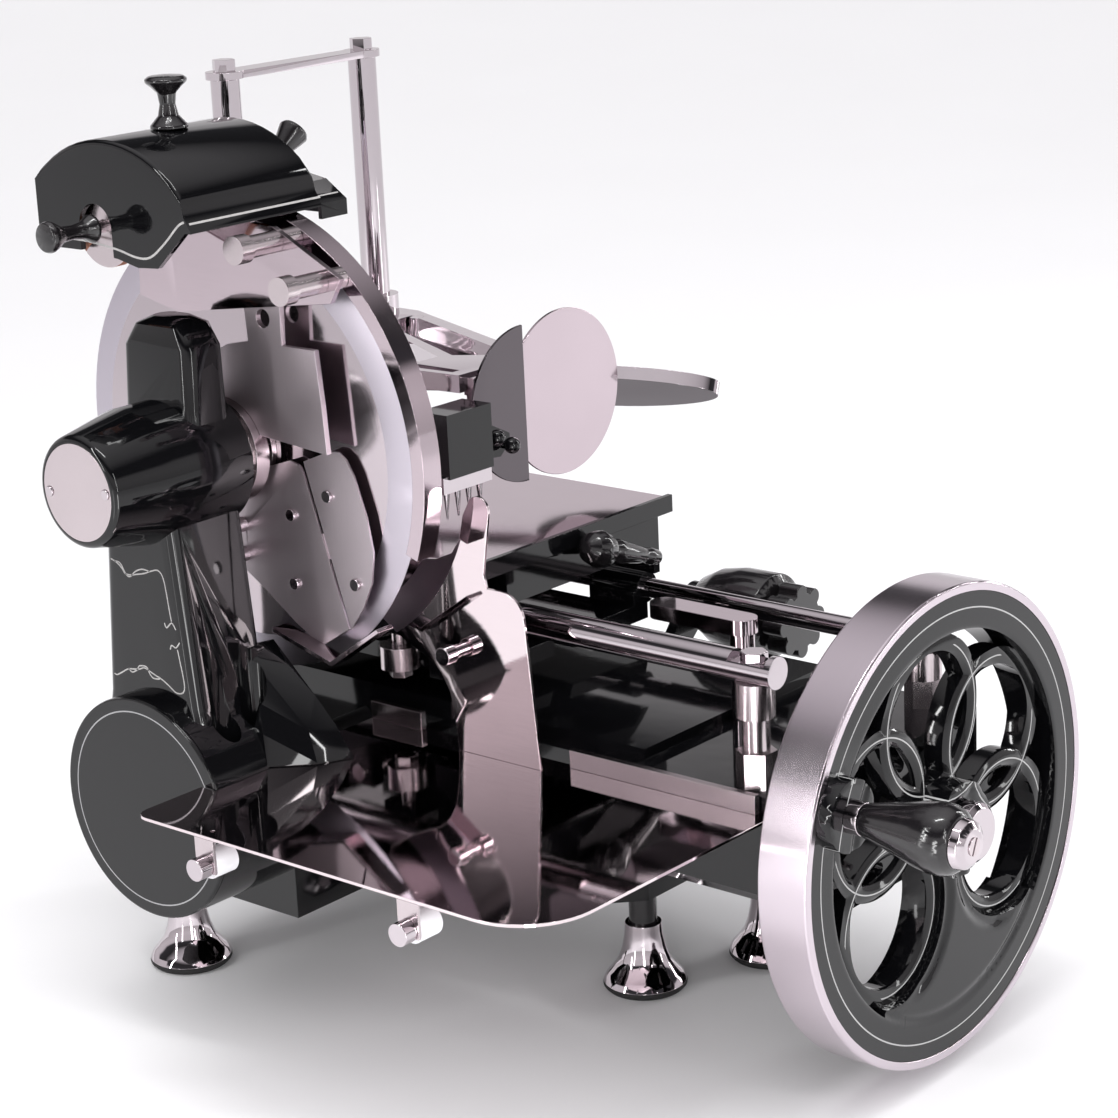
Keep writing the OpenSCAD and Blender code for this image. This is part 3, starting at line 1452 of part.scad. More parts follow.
base_casting();
column();
boss_cover();
drum_cover();
leg_bells();
leg_stems();
leg_pads();
slice_tray();
tray_brackets();
tray_roller_front();
tray_roller_rear();
guide_rails();
guide_rods();
rod_posts();
rod_bolts();
guard_ring();
guard_bracket();
blade_covers();
cover_screws();
chute_cup();
blade_sleeve();
slice_deflector();
deflector_lever();
deflector_stud();
sharpener_base();
sharpener_hood();
hood_knob();
sharpener_pins();
grinding_stone();
honing_stone();
stone_knobs();
stop_knob();
flywheel_rim();
flywheel_disc();
hub_cap();
flywheel_shaft();
drive_bevel();
grip_spindle();
grip();
grip_cap();
cross_shaft();
driven_bevel();
lower_sprocket();
drive_chain();
blade();
blade_shaft();
carriage_frame();
carriage_roller();
feed_screw();
link_bar();
table_box();
table_plate();
release_lever();
clamp_posts();
post_bar();
clamp_arm();
clamp_head();
guard_plates();
clamp_tongue();
thickness_dial();
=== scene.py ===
import json
import math

import bmesh
import bpy
from mathutils import Matrix, Vector

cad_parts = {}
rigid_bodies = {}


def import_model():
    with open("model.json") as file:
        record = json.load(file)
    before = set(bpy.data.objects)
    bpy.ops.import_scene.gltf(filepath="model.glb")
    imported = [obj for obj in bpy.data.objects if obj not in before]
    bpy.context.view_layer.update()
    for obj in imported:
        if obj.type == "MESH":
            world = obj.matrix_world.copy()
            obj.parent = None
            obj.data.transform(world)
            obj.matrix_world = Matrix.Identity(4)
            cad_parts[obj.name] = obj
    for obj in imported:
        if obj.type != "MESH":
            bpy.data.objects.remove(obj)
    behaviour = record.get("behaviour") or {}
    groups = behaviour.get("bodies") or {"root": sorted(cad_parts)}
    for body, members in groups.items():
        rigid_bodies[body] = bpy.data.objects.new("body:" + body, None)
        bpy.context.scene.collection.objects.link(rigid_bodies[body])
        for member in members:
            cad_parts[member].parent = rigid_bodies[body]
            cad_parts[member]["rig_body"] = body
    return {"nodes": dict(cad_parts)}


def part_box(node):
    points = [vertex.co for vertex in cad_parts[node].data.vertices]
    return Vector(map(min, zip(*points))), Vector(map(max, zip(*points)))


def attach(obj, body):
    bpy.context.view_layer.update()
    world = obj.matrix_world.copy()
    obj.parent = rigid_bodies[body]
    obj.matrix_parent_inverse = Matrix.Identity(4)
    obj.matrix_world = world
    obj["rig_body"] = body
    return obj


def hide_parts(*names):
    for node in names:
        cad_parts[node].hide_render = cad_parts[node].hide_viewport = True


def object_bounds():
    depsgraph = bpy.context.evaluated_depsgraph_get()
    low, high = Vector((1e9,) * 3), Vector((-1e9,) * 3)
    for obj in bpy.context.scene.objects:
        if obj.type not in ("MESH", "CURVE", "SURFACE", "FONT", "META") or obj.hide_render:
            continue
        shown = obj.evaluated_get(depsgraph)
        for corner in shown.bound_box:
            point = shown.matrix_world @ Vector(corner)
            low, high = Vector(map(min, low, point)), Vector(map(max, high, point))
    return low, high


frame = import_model()
cad_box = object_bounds()

# The camera stands to the left of the operator and a little above the machine. Its place was
# solved from the outlines of the flywheel and the blade. Places here are in millimetres from
# the hub, which is the front end of the flywheel's axis.
mm = 0.001
rim_low, rim_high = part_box("flywheel_rim")
hub = Vector(((rim_low.x + rim_high.x) / 2, rim_low.y, (rim_low.z + rim_high.z) / 2))
camera_place = Vector((-1378.0, -894.6, 655.2))
azimuth, elevation, roll = (math.radians(a) for a in (-48.907, 16.237, -2.644))
sensor_w, focal_l = 36, 92.17
nearest, farthest = 0.05, 40
back = Vector((math.sin(azimuth) * math.cos(elevation), -math.cos(azimuth) * math.cos(elevation),
               math.sin(elevation)))
level = Vector((math.cos(azimuth), math.sin(azimuth), 0))
upright = back.cross(level)
right = level * math.cos(roll) + upright * math.sin(roll)
top = upright * math.cos(roll) - level * math.sin(roll)
camera = bpy.data.objects.new("camera", bpy.data.cameras.new("camera"))
bpy.context.scene.collection.objects.link(camera)
camera.matrix_world = (Matrix.Translation(hub + camera_place * mm)
                       @ Matrix((right, top, back)).transposed().to_4x4())
camera.data.sensor_width, camera.data.lens = sensor_w, focal_l
camera.data.clip_start, camera.data.clip_end = nearest, farthest
bpy.context.scene.camera = camera


# The studio has a bright sky that darkens towards the walls, and long soft boxes, so that
# the black enamel and the plated parts show clean bright streaks. The camera sees plain
# white behind the machine, and only reflections show the sky.
class Wire:
    """A socket of a node tree, with Python's arithmetic on it."""

    def __init__(self, tree, socket=None):
        self.tree, self.socket = tree, socket

    def node(self, kind, settings=(), inputs=(), output=0):
        made = self.tree.nodes.new("ShaderNode" + kind)
        for name, value in dict(settings).items():
            if name == "stops":
                ramp = made.color_ramp.elements
                ramp.remove(ramp[1])
                for i, (share, colour) in enumerate(value):
                    stop = ramp.new(share) if i else ramp[0]
                    stop.position, stop.color = share, (*colour, 1)
            else:
                setattr(made, name, value)
        for name, value in dict(inputs).items():
            if isinstance(value, Wire):
                self.tree.links.new(value.socket, made.inputs[name])
            else:
                made.inputs[name].default_value = value
        return Wire(self.tree, made.outputs[output])

    def maths(self, operation, *values):
        return self.node("Math", {"operation": operation}, enumerate(values))

    def __add__(self, other): return self.maths("ADD", self, other)
    def __radd__(self, other): return self.maths("ADD", other, self)
    def __sub__(self, other): return self.maths("SUBTRACT", self, other)
    def __rsub__(self, other): return self.maths("SUBTRACT", other, self)
    def __mul__(self, other): return self.maths("MULTIPLY", self, other)
    def __rmul__(self, other): return self.maths("MULTIPLY", other, self)
    def __gt__(self, other): return self.maths("GREATER_THAN", self, other)
    def __lt__(self, other): return self.maths("LESS_THAN", self, other)
    def __abs__(self): return self.maths("ABSOLUTE", self)
    def root(self): return self.maths("SQRT", self)

    def axes(self):
        """The three numbers of a vector."""
        return [self.node("SeparateXYZ", (), {0: self}, i) for i in range(3)]

    def noise(self, scale, detail, **more):
        """Cloudy noise that reads this wire as its place."""
        return self.node("TexNoise", (), {"Vector": self, "Scale": scale, "Detail": detail, **more})

    def blend(self, first, last):
        """The first colour where this wire is 0, and the last where it is 1."""
        ends = [c if isinstance(c, Wire) else (*c, 1) for c in (first, last)]
        return self.node("Mix", {"data_type": "RGBA"}, {0: self, 6: ends[0], 7: ends[1]}, 2)

    def bump(self, distance, strength):
        """A normal that leans as if this wire were the height of the surface."""
        return self.node("Bump", (), {"Height": self, "Distance": distance, "Strength": strength})


world = bpy.data.worlds.new("studio")
world.use_nodes = True
world.node_tree.nodes.clear()
sky = Wire(world.node_tree)
sky_stops = [
    (0.0, (0.55, 0.54, 0.55)), (0.49, (0.62, 0.60, 0.61)), (0.60, (0.80, 0.77, 0.79)),
    (0.665, (0.74, 0.71, 0.73)), (0.70, (0.05, 0.05, 0.055)), (0.80, (0.035, 0.034, 0.036)),
    (0.87, (0.55, 0.53, 0.55)), (1.0, (1.1, 1.08, 1.1))]
height = sky.node("TexCoord").axes()[2] * 0.5 + 0.5
wall = sky.node("ValToRGB", {"stops": sky_stops}, {0: height})
backdrop = sky.node("LightPath").blend(wall, (1.0, 1.0, 1.0))
light = sky.node("Background", (), {0: backdrop, 1: 1.0})
world.node_tree.links.new(light.socket, world.node_tree.nodes.new("ShaderNodeOutputWorld").inputs[0])
bpy.context.scene.world = world
bpy.context.scene.view_settings.view_transform = "Standard"


def soft_box(name, stand, aim, size, power):
    """A long lamp, with its place, aim and size in metres and its power in watts."""
    lamp = bpy.data.objects.new(name, bpy.data.lights.new(name, "AREA"))
    lamp.data.shape, lamp.data.size, lamp.data.size_y, lamp.data.energy = "RECTANGLE", *size, power
    lamp.location = stand
    lamp.visible_camera = False
    lamp.rotation_euler = (Vector(aim) - Vector(stand)).to_track_quat("-Z", "Y").to_euler()
    bpy.context.scene.collection.objects.link(lamp)


soft_box("left strip", (-2.2, 0.9, 1.3), (0, 0, 0.3), (0.10, 1.9), 14)
soft_box("front strip", (-0.9, -2.6, 1.2), (0, 0, 0.3), (0.09, 1.8), 12)
soft_box("right strip", (2.3, -1.0, 1.2), (0, 0, 0.3), (0.16, 1.8), 14)
soft_box("top strip", (-0.5, -0.3, 2.6), (0, 0, 0.2), (1.2, 0.14), 14)
soft_box("low front strip", (-0.50, -0.42, 0.17), (-0.14, 0.19, 0.3), (0.10, 0.32), 1.0)
soft_box("low left strip", (-0.78, 0.12, 0.17), (-0.14, 0.19, 0.3), (0.05, 0.32), 0.3)
soft_box("low right strip", (0.50, -0.70, 0.20), (0.08, -0.25, 0.2), (0.04, 0.30), 0.25)
fill_power, fill_spread, fill_tip, fill_lean = 2.1, 80, 20, -25
fill = bpy.data.objects.new("fill", bpy.data.lights.new("fill", "SUN"))
fill.data.energy, fill.data.angle = fill_power, math.radians(fill_spread)
fill.rotation_euler = (math.radians(fill_tip), math.radians(fill_lean), 0)
fill.visible_glossy = False
bpy.context.scene.collection.objects.link(fill)


# The floor is a wide sheet of matt white paper just below the machine's feet.
# It belongs to the studio and not to the machine.
def finish(name, colour, metallic=0.0, roughness=0.3, coat=0.0):
    """A new material, its Principled shader and the surface's own coordinates."""
    material = bpy.data.materials.new(name)
    material.use_nodes = True
    shader = material.node_tree.nodes["Principled BSDF"]
    shader.inputs["Base Color"].default_value = (*colour, 1)
    shader.inputs["Metallic"].default_value = metallic
    shader.inputs["Roughness"].default_value = roughness
    shader.inputs["Coat Weight"].default_value = coat
    shader.inputs["Coat Roughness"].default_value = 0.03
    return material, shader, Wire(material.node_tree).node("TexCoord", output=3)


def feed(shader, socket, wire):
    """Links a wire to a socket of the shader."""
    wire.tree.links.new(wire.socket, shader.inputs[socket])


def object_of(name, shape, material):
    """An object of this bmesh, in this material, linked into the scene."""
    data = bpy.data.meshes.new(name)
    shape.to_mesh(data)
    shape.free()
    data.materials.append(material)
    made = bpy.data.objects.new(name, data)
    bpy.context.scene.collection.objects.link(made)
    return made


paper, shader, spot = finish("paper", (0.86, 0.86, 0.87), roughness=0.6)
feed(shader, "Roughness", 0.5 + 0.2 * spot.noise(3.0, 4.0))
floor_reach, floor_gap = 40, 0.0002
floor_shape = bmesh.new()
bmesh.ops.create_grid(floor_shape, x_segments=1, y_segments=1, size=floor_reach)
floor = object_of("floor", floor_shape, paper)
floor.location.z = cad_box[0].z - floor_gap

# The base, the carriage's frame and the table's box are iron castings with generous edges.
# They are filled, primed and sprayed with black enamel in several coats, and polished like
# black glass, with a faint waviness and a little uneven polish.
enamel_black = (0.0030, 0.0030, 0.0036)


def sprayed(name):
    """Black enamel, its shader, the surface's coordinates and its uneven polish."""
    made, shader, spot = finish(name, enamel_black, roughness=0.08)
    shader.inputs["IOR"].default_value = 1.47
    polish = 0.03 + 0.06 * spot.noise(18.0, 5.0)
    feed(shader, "Roughness", polish)
    feed(shader, "Normal", spot.noise(45.0, 1.0).bump(0.00012, 0.35))
    return made, shader, spot, polish


def broken(name, material, width=0.6, sharp=30, segments=2, merge=0.02, worked=None):
    """A CAD node's own shape with its flat faces joined and its hard edges rounded over."""
    flat = 0.6
    node = frame["nodes"][name]
    shape = bmesh.new()
    shape.from_mesh(node.data)
    bmesh.ops.remove_doubles(shape, verts=shape.verts, dist=merge * mm)
    bmesh.ops.dissolve_limit(shape, angle_limit=math.radians(flat), verts=shape.verts, edges=shape.edges)
    if worked:
        worked(shape)
    for face in shape.faces:
        face.smooth = True
    made = object_of("finished_" + name, shape, material)
    made.data.set_sharp_from_angle(angle=math.radians(sharp))
    edges = made.modifiers.new("edges", "BEVEL")
    edges.width, edges.segments, edges.limit_method = width * mm, segments, "ANGLE"
    edges.angle_limit, edges.harden_normals = math.radians(sharp), True
    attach(made, node["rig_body"])
    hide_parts(name)
    return made


enamel = sprayed("black enamel")[0]
for name, width in {"base_casting": 3, "carriage_frame": 1.5, "table_box": 1.2}.items():
    broken(name, enamel, width, segments=3)


# The column is a casting too, enamelled like the base. Thin silver scrolls are painted by
# hand on its left face: a short one on the neck and a broken frame on the trunk.
def place(x, y, z):
    """A point in millimetres from the front end of the flywheel's axis."""
    return hub + Vector((x, y, z)) * mm


def painted(name, points, normal, width, body):
    """A thin raised line of paint that follows points on a face with this normal."""
    sunk, raised = -0.05, 0.06
    normal = Vector(normal).normalized()
    points = [place(*p) for p in points]
    shape = bmesh.new()
    rows = []
    for i, point in enumerate(points):
        along = (points[min(i + 1, len(points) - 1)] - points[max(i - 1, 0)]).normalized()
        side = along.cross(normal).normalized() * width / 2 * mm
        rows.append([shape.verts.new(point + side * s + normal * h * mm)
                     for s, h in ((-1, sunk), (-1, raised), (1, raised), (1, sunk))])
    for before, after in zip(rows, rows[1:]):
        for k in range(4):
            shape.faces.new((before[k], before[(k + 1) % 4], after[(k + 1) % 4], after[k]))
    shape.faces.new(rows[0])
    shape.faces.new(rows[-1][::-1])
    bmesh.ops.recalc_face_normals(shape, faces=shape.faces)
    made = object_of(name, shape, silver_paint)
    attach(made, body)


def eased(points, steps=4):
    """Points along a smooth curve through the given ones."""
    out = []
    for i in range(len(points) - 1):
        a, b, c, d = (Vector(points[max(0, min(len(points) - 1, i + k))]) for k in (-1, 0, 1, 2))
        for j in range(steps):
            t = j / steps
            out.append(0.5 * (2 * b + (c - a) * t + (2 * a - 5 * b + 4 * c - d) * t * t
                              + (3 * b - 3 * c + d - a) * t ** 3))
    return [tuple(p) for p in out] + [tuple(points[-1])]


silver_paint, shader, spot = finish("pinstripe paint", (0.62, 0.60, 0.57), roughness=0.4)
feed(shader, "Base Color", spot.noise(260.0, 3.0).blend((0.50, 0.49, 0.48), (0.28, 0.27, 0.27)))
broken("column", enamel, 2.0, sharp=40, segments=3)
neck_scroll = [
    [(470, 280), (467, 285), (462, 289), (456, 289), (451, 287), (448, 285), (443, 285), (439, 286),
     (435, 289), (429, 291), (424, 289), (421, 286), (417, 281)],
    [(464, 288), (459, 286), (453, 285), (449, 283), (445, 282), (441, 284), (437, 285), (431, 287),
     (424, 289)]]
trunk_scroll = [
    [(474, 160), (470, 159), (465, 157), (461, 154), (459, 152), (452, 152), (447, 153), (437, 155),
     (431, 157), (423, 159), (419, 158), (416, 154), (414, 145), (412.5, 135), (411, 127)],
    [(470, 159), (464, 158.5), (460, 154), (457, 151), (453, 151), (447, 155), (439, 157.5),
     (431, 157)],
    [(419, 125), (417, 122), (411, 126), (407, 122)],
    [(415, 108), (413, 111), (408.5, 110), (404, 114)],
    [(407, 109), (405, 100), (403.5, 93), (402.5, 85), (404.5, 81), (409, 79.5), (414, 80),
     (420, 83), (427, 86), (435, 88), (442, 90), (447, 91), (453.5, 89), (465, 87.5), (473, 84),
     (479, 81.5), (482, 82)],
    [(465, 88), (461, 86), (455, 88.5), (452, 91.5), (444, 92), (441, 88), (437, 85.5), (430, 86)]]
middle, narrowed = 442, 0.84
for scroll, lines, face_x, width in (("neck_scroll", neck_scroll, -220, 0.8),
                                     ("trunk_scroll", trunk_scroll, -247, 0.9)):
    for i, line in enumerate(lines):
        points = [(face_x, middle + (y - middle) * narrowed, z) for y, z in line]
        painted("%s_%d" % (scroll, i), eased(points), (-1, 0, 0), width, "frame")


# The drum's cover is an enamelled plate screwed over the end of the drum housing. One fine
# grey ring is painted round it.
def lined(name, rings, tint, front=None):
    """Black enamel with fine circles painted on it, each as centre, radius, width and reach."""
    made, shader, spot, polish = sprayed(name)
    axes = spot.axes()
    mask = 0.0
    for plane, centre, radius, width, (middle_of, reach) in rings:
        def away(point):
            a, b = (axes[k] - point[k] for k in plane)
            return (a * a + b * b).root()
        line = abs(away(centre) - radius * mm) < width / 2 * mm
        mask = line * (away(middle_of) < reach * mm) + mask
    if front is not None:
        mask = mask * (axes[1] < front)
    feed(shader, "Base Color", mask.blend(enamel_black, tint))
    feed(shader, "Roughness", polish + 0.3 * mask)
    return made


drum_centre, drum_ring_r, drum_cover_r, line_w = place(0, 442, 0), 65, 74, 0.9
drum_paint = lined("drum enamel", [((1, 2), drum_centre, drum_ring_r, line_w, (drum_centre, drum_cover_r))],
                   (0.30, 0.30, 0.31))
broken("drum_cover", drum_paint, 1.2, segments=3)

# The hood over the grinding stones is pressed from sheet and enamelled, with rolled edges at
# the ends of its crown. A silver line follows its lower edge round the end and its front lip.
hood_left, hood_right = -232, -120
crown_y, crown_z, crown_r = 462, 330, 94
crown_roll, roll_steps = 5, 5
end_line = [(497, 360.5), (480, 360), (454, 357), (437, 353.5), (424, 354.5), (410, 364), (397, 375.5),
            (391, 378.5)]
lip_xs, lip_y, lip_z, lip_slope = (-230, -190, -150, -119), 388.6, 377.2, (0, -0.847, 0.531)
wing_xs, wing_y, wing_z, wing_slope = (-118, -110, -100), 391.3, 377.1, (0, -0.828, 0.56)
hood_line_w = 1.4


def rounded_crown(shape):
    """Rolls the edges where the crown of the hood meets its two end plates."""
    crown = place(0, crown_y, crown_z)
    well_in, near = (crown_r - 1) * mm, 0.1 * mm
    ends = []
    for edge in shape.edges:
        on_crown = all(math.hypot(v.co.y - crown.y, v.co.z - crown.z) > well_in for v in edge.verts)
        for x in (hood_left, hood_right):
            if on_crown and all(abs(v.co.x - place(x, 0, 0).x) < near for v in edge.verts):
                ends.append(edge)
    bmesh.ops.bevel(shape, geom=ends, offset=crown_roll * mm, offset_type="OFFSET", segments=roll_steps,
                    profile=0.5, affect="EDGES", clamp_overlap=True, material=-1)


broken("sharpener_hood", enamel, 1.2, sharp=40, segments=3, merge=0.3, worked=rounded_crown)
painted("hood_end_line", eased([(hood_left, y, z) for y, z in end_line]), (-1, 0, 0), hood_line_w, "hood")
painted("hood_lip_line", [(x, lip_y, lip_z) for x in lip_xs], lip_slope, hood_line_w, "hood")
painted("wing_lip_line", [(x, wing_y, wing_z) for x in wing_xs], wing_slope, hood_line_w, "hood")

# The flywheel's body is one enamelled casting, with interlaced rings for spokes. The rings
# are round beads with hollows between them, and fine grey lines run along each ring and
# round the band, inside which lies a shallow groove.
ring_reach, bead_r = 71.96, 47.5
ring_turns = [math.radians(a) for a in (38, 98, 158, 218, 338)]
spoke_rings = [place(ring_reach * math.cos(a), 0, ring_reach * math.sin(a)) for a in ring_turns]
band_line_r, band_reach, bead_reach = 136, 150, 113
front_y = hub.y + 9 * mm
bead_w, hollow_depth, hollow_end, hollow_fade = 15, 2.4, 110, 12
groove_r, groove_half, groove_depth = 120, 5, 1.3
fine_step, coarse_step, fine_from, fine_to, most_cuts = 2.4, 6, 30, 127, 8
wheel_paint = lined("flywheel enamel", [((0, 2), hub, band_line_r, line_w, (hub, band_reach))]
                    + [((0, 2), c, bead_r, line_w, (hub, bead_reach)) for c in spoke_rings],
                    (0.42, 0.42, 0.42), front_y)


def beaded(shape):
    """Works the front face into round beads along the rings, with hollows between them."""
    def front(face):
        return face.normal.y < -0.99 and face.calc_center_median().y < front_y

    def out(point):
        return math.hypot(point.x - hub.x, point.z - hub.z)

    def too_long(edge):
        reaches = [out(v.co) for v in edge.verts]
        fine = min(reaches) < fine_to * mm and max(reaches) > fine_from * mm
        return edge.calc_length() > (fine_step if fine else coarse_step) * mm

    bmesh.ops.triangulate(shape, faces=[f for f in shape.faces if front(f)])
    for _ in range(most_cuts):
        long = [e for e in shape.edges if any(front(f) for f in e.link_faces) and too_long(e)]
        if not long:
            break
        bmesh.ops.subdivide_edges(shape, edges=long, cuts=1)
        bmesh.ops.triangulate(shape, faces=[f for f in shape.faces if len(f.verts) > 3 and front(f)])
    for vert in {v for f in shape.faces if front(f) for v in f.verts}:
        reach = out(vert.co) / mm
        off = min(abs(math.hypot(vert.co.x - c.x, vert.co.z - c.z) - bead_r * mm) for c in spoke_rings) / mm
        fade = min(1, max(0, (hollow_end - reach) / hollow_fade))
        aside = abs(reach - groove_r)
        hollow = groove = 0
        if off < bead_w:
            hollow = hollow_depth * fade * (0.5 - 0.5 * math.cos(math.tau * off / bead_w))
        if aside < groove_half:
            groove = groove_depth * (0.5 + 0.5 * math.cos(math.pi * aside / groove_half))
        vert.co.y += max(hollow, groove) * mm


broken("flywheel_disc", wheel_paint, 0.8, sharp=45, merge=0.3, worked=beaded)


# The flywheel's rim is a steel tyre, shrunk on the casting and turned and polished on it.
# The turning leaves fine rounds in the steel.
def buffed(name, colour, low_gloss, spread, stretch):
    """Metal with hair lines along the directions where stretch is small."""
    made, shader, spot = finish(name, colour, metallic=1.0)
    lines = spot.node("Mapping", (), {0: spot, 3: stretch}).noise(1.0, 6.0, Roughness=0.7)
    smears = spot.noise(22.0, 3.0)
    feed(shader, "Roughness", low_gloss + spread * lines * smears * 2)
    feed(shader, "Base Color", (lines * smears).blend(colour, tuple(c * 0.86 for c in colour)))
    feed(shader, "Normal", lines.bump(0.00002, 0.25))
    return made


rim_steel = buffed("turned rim", (0.64, 0.57, 0.62), 0.16, 0.06, (30, 2600, 30))
broken("flywheel_rim", rim_steel, 0.8)

# Knobs, the grip and the handles are turned or moulded from black plastic and polished on
# the lathe. They screw on their spindles. The stems of the feet are of the same plastic.
black_plastic, shader, spot = finish("black moulding", (0.006, 0.0055, 0.0065), roughness=0.16, coat=0.5)
swirl = spot.noise(90.0, 4.0, Distortion=1.5)
feed(shader, "Roughness", 0.1 + 0.14 * swirl)
feed(shader, "Base Color", swirl.blend((0.004, 0.004, 0.005), (0.011, 0.009, 0.010)))
for name in ("hood_knob", "stop_knob", "stone_knobs", "grip", "release_lever", "thickness_dial",
             "leg_stems"):
    broken(name, black_plastic, 0.8)

# The machine stands on moulded rubber pads, pressed on the ends of the four stems.
# The rubber is matt, with fine pores.
rubber, shader, spot = finish("rubber", (0.012, 0.012, 0.012), roughness=0.7)
pores = spot.noise(900.0, 2.0)
feed(shader, "Normal", pores.bump(0.0001, 0.4))
feed(shader, "Roughness", 0.6 + 0.2 * pores)
broken("leg_pads", rubber, 0.6)

# Polished pieces of stainless steel are cut from plate and buffed, which leaves hair lines
# too fine to see one by one: the ring round the blade, the sharpener's base, the cup below
# the blade, the table's plate, the link bar and the deflector's lever.
mirror = buffed("polished stainless", (0.56, 0.475, 0.515), 0.03, 0.08, (900, 40, 900))
for name in ("deflector_lever", "chute_cup", "table_plate", "sharpener_base", "guard_ring", "link_bar"):
    broken(name, mirror, 0.3)

# The tray and the slice deflector are the brightest sheets. They are cut from stainless
# plate, and lift off for cleaning. Their stainless has a lighter colour than the other
# polished parts, which is painted light on their mirror faces, and a finer polish.
# A lighter copy of the polished stainless. Its extra lightness is painted light.
sheet = buffed("stainless lightened as painted light", (0.80, 0.70, 0.725), 0.015, 0.03, (900, 40, 900))
for name in ("slice_tray", "slice_deflector"):
    broken(name, sheet, 0.3)

# The blade's covers and the bracket behind them are brushed plates with a satin face,
# screwed to the column.
satin = buffed("satin stainless", (0.70, 0.62, 0.66), 0.34, 0.10, (40, 1200, 40))
for name in ("blade_covers", "guard_bracket"):
    broken(name, satin, 0.3)

# Posts, rods, bells and small fittings are turned from steel and chromed.
# They stand in bores of the castings or screw into them.
chrome = buffed("chrome plate", (0.60, 0.545, 0.575), 0.02, 0.05, (60, 60, 60))
for name in ("leg_bells", "clamp_posts", "post_bar", "clamp_arm", "grip_spindle", "grip_cap",
             "hub_cap", "rod_bolts", "cover_screws", "deflector_stud", "guide_rods"):
    broken(name, chrome, 0.5)

# A slotted screw holds the grip on its spindle. Its head is turned steel, and is made as
# two halves with the slot between them.
turned = buffed("turned steel", (0.60, 0.53, 0.55), 0.15, 0.14, (2600, 500, 500))
cap_low, cap_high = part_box("grip_cap")
cap_end = Vector(((cap_low.x + cap_high.x) / 2, cap_low.y, (cap_low.z + cap_high.z) / 2))
screw_r, screw_t, screw_edge, screw_sides = 5.5, 0.7, 0.15, 48
slot_w, slot_turn, nearly = 1.6, 25, 0.00001
for name, side in (("cap_screw_left", -1), ("cap_screw_right", 1)):
    half = bmesh.new()
    bmesh.ops.create_cone(half, cap_ends=True, segments=screw_sides, radius1=screw_r * mm,
                          radius2=screw_r * mm, depth=screw_t * mm)
    bmesh.ops.bisect_plane(half, geom=half.verts[:] + half.edges[:] + half.faces[:], dist=nearly,
                           plane_co=(side * slot_w / 2 * mm, 0, 0), plane_no=(-side, 0, 0),
                           clear_outer=True)
    bmesh.ops.holes_fill(half, edges=[e for e in half.edges if e.is_boundary], sides=0)
    bmesh.ops.bevel(half, geom=half.edges[:], offset=screw_edge * mm, offset_type="OFFSET", segments=2,
                    profile=0.5, affect="EDGES", clamp_overlap=True, material=-1)
    seated = (Matrix.Translation(cap_end - Vector((0, screw_t / 2 * mm, 0)))
              @ Matrix.Rotation(math.radians(slot_turn), 4, "Y")
              @ Matrix.Rotation(math.radians(90), 4, "X"))
    bmesh.ops.transform(half, verts=half.verts, matrix=seated)
    bmesh.ops.recalc_face_normals(half, faces=half.faces)
    made = object_of(name, half, turned)
    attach(made, frame["nodes"]["grip_cap"]["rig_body"])

# Turned and milled parts of bare steel keep the fine marks of the tool: rails, posts,
# sleeves, pins, brackets and the feed screw.
for name in ("boss_cover", "guide_rails", "rod_posts", "blade_sleeve", "sharpener_pins",
             "tray_brackets", "blade_shaft", "carriage_roller", "feed_screw"):
    broken(name, turned, 0.4)

# The blade is a dished disc of hard steel on its hub. It is mirror bright in the middle,
# with a satin bevel ground round its edge.
bevel_r = 128
blade_centre = place(-145, 442, 217)
blade_steel, shader, spot = finish("blade steel", (0.68, 0.62, 0.65), metallic=1.0)
across = [axis - blade_centre[i] for i, axis in enumerate(spot.axes()) if i]
radius = (across[0] * across[0] + across[1] * across[1]).root()
turn = spot.maths("ARCTAN2", across[1], across[0])
bevel = radius > bevel_r * mm
ray_turns, ray_lengths, round_steps, round_turns = 160, 60, 5200, 1.2
rays = spot.node("CombineXYZ", (), {0: turn * ray_turns, 1: radius * ray_lengths}).noise(1.0, 3.0)
rounds = spot.node("CombineXYZ", (), {0: radius * round_steps, 1: turn * round_turns}).noise(1.0, 4.0)
feed(shader, "Roughness", 0.05 + 0.06 * rounds + bevel * (0.17 + 0.16 * rays))
feed(shader, "Base Color", bevel.blend((0.52, 0.46, 0.49), (0.52, 0.48, 0.54)))
feed(shader, "Normal", (rounds * (1 - bevel) + rays * bevel).bump(0.00002, 0.3))
broken("blade", blade_steel, 0.2)

# The drive inside the housings is oiled steel: the flywheel's shaft, a bevel pair, the
# cross shaft behind it, and a chain that takes its turn up to the blade.
oiled = buffed("oiled steel", (0.42, 0.41, 0.41), 0.25, 0.3, (700, 700, 700))
for name in ("flywheel_shaft", "drive_bevel", "cross_shaft", "driven_bevel", "lower_sprocket",
             "drive_chain"):
    broken(name, oiled, 0.3)


# The clamp's head is a block of steel with spikes. It is chromed below its lower edge, and
# above that edge its faces are black, in the glossy enamel material. It slides on the two
# posts with its arm.
def second(made, material, test):
    """Gives a piece's faces another material where test says so for their middle."""
    made.data.materials.append(material)
    for face in made.data.polygons:
        if test((face.center - hub) / mm):
            face.material_index = 1


black_above_z = 196
second(broken("clamp_head", chrome, 0.8), enamel, lambda p: p.z > black_above_z)
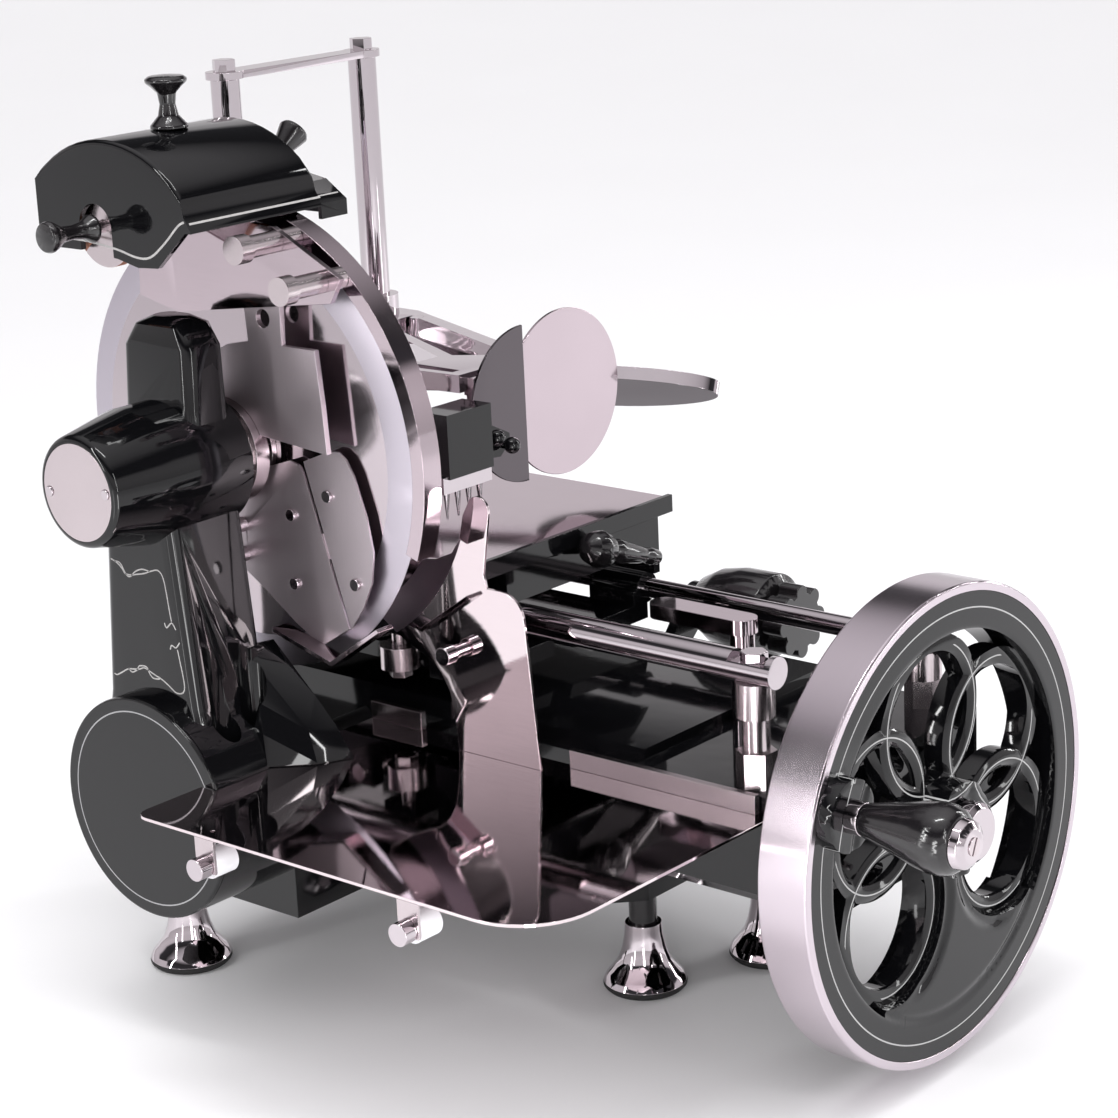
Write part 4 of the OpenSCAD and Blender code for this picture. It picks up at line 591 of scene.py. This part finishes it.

# The clamp's tongue is a chromed casting on a hinge. Its spoon shaped end is hollow, and
# the hollow is darker than its edge: a dark copy of the stainless paints shade and dark
# reflection there.
# A dark copy of the polished stainless. Its darkness is painted shade and painted dark reflection.
painted_shade_stainless = buffed("stainless with painted shade", (0.13, 0.115, 0.125), 0.03, 0.06, (900, 40, 900))
tongue_hinge, tongue_turn, tongue_tilt = Vector((84, 505, 200)), 67, 38
dish_reach, dish_rise, dish_half, dish_wide, dish_share = 152, 5, 66, 19, 0.97
edge_low, edge_high = -4.9, 0.5


def in_dish(point):
    """Whether a point in millimetres lies on the hollow top of the tongue."""
    turned_in = Matrix.Rotation(math.radians(tongue_turn), 3, "Z") @ (point - tongue_hinge)
    from_middle = turned_in - Vector((dish_reach, 0, dish_rise))
    near = Matrix.Rotation(math.radians(tongue_tilt), 3, "X") @ from_middle
    inside = (near.x / dish_half) ** 2 + (near.y / dish_wide) ** 2 < dish_share
    return inside and (near.z > edge_high or near.z < edge_low)


second(broken("clamp_tongue", chrome, 0.8), painted_shade_stainless, in_dish)

# Two guard plates stand behind the clamp's head, a full round one and a half one. Both are
# stainless, and the front of the half one is painted dark with the dark copy of the
# stainless, as painted shade and painted dark reflection.
half_plate_y, half_plate_x = 339.2, 8.1
second(broken("guard_plates", mirror, 0.3), painted_shade_stainless,
       lambda p: p.y < half_plate_y and p.x < half_plate_x)

# Grinding stones are discs of bonded grit, pressed on bright spindles.
# The coarse one grinds the bevel, and the small one takes off its burr.
abrasive, shader, spot = finish("abrasive", (0.36, 0.16, 0.10), roughness=0.85)
grit = spot.node("TexVoronoi", (), {"Vector": spot, "Scale": 1500.0})
grit_stops = [(0.0, (0.55, 0.30, 0.22)), (0.4, (0.33, 0.14, 0.09)), (1.0, (0.16, 0.07, 0.05))]
feed(shader, "Base Color", spot.node("ValToRGB", {"stops": grit_stops}, {0: grit}))
feed(shader, "Normal", grit.bump(0.0002, 0.6))
grind_y, grind_z, spindle_r, hone_face = 473, 369, 5, -130.4
second(broken("grinding_stone", abrasive, 0.4), turned,
       lambda p: math.hypot(p.y - grind_y, p.z - grind_z) < spindle_r)
second(broken("honing_stone", abrasive, 0.4), turned, lambda p: p.x > hone_face)

# Rollers under the tray are turned from white nylon. They run on knurled thumb screws of
# chromed steel.
nylon, shader, spot = finish("nylon", (0.80, 0.80, 0.82), roughness=0.4)
feed(shader, "Roughness", 0.33 + 0.2 * spot.noise(60.0, 3.0))
screw_face = -316
for name in ("tray_roller_front", "tray_roller_rear"):
    second(broken(name, nylon, 0.4), chrome, lambda p: p.x < screw_face)
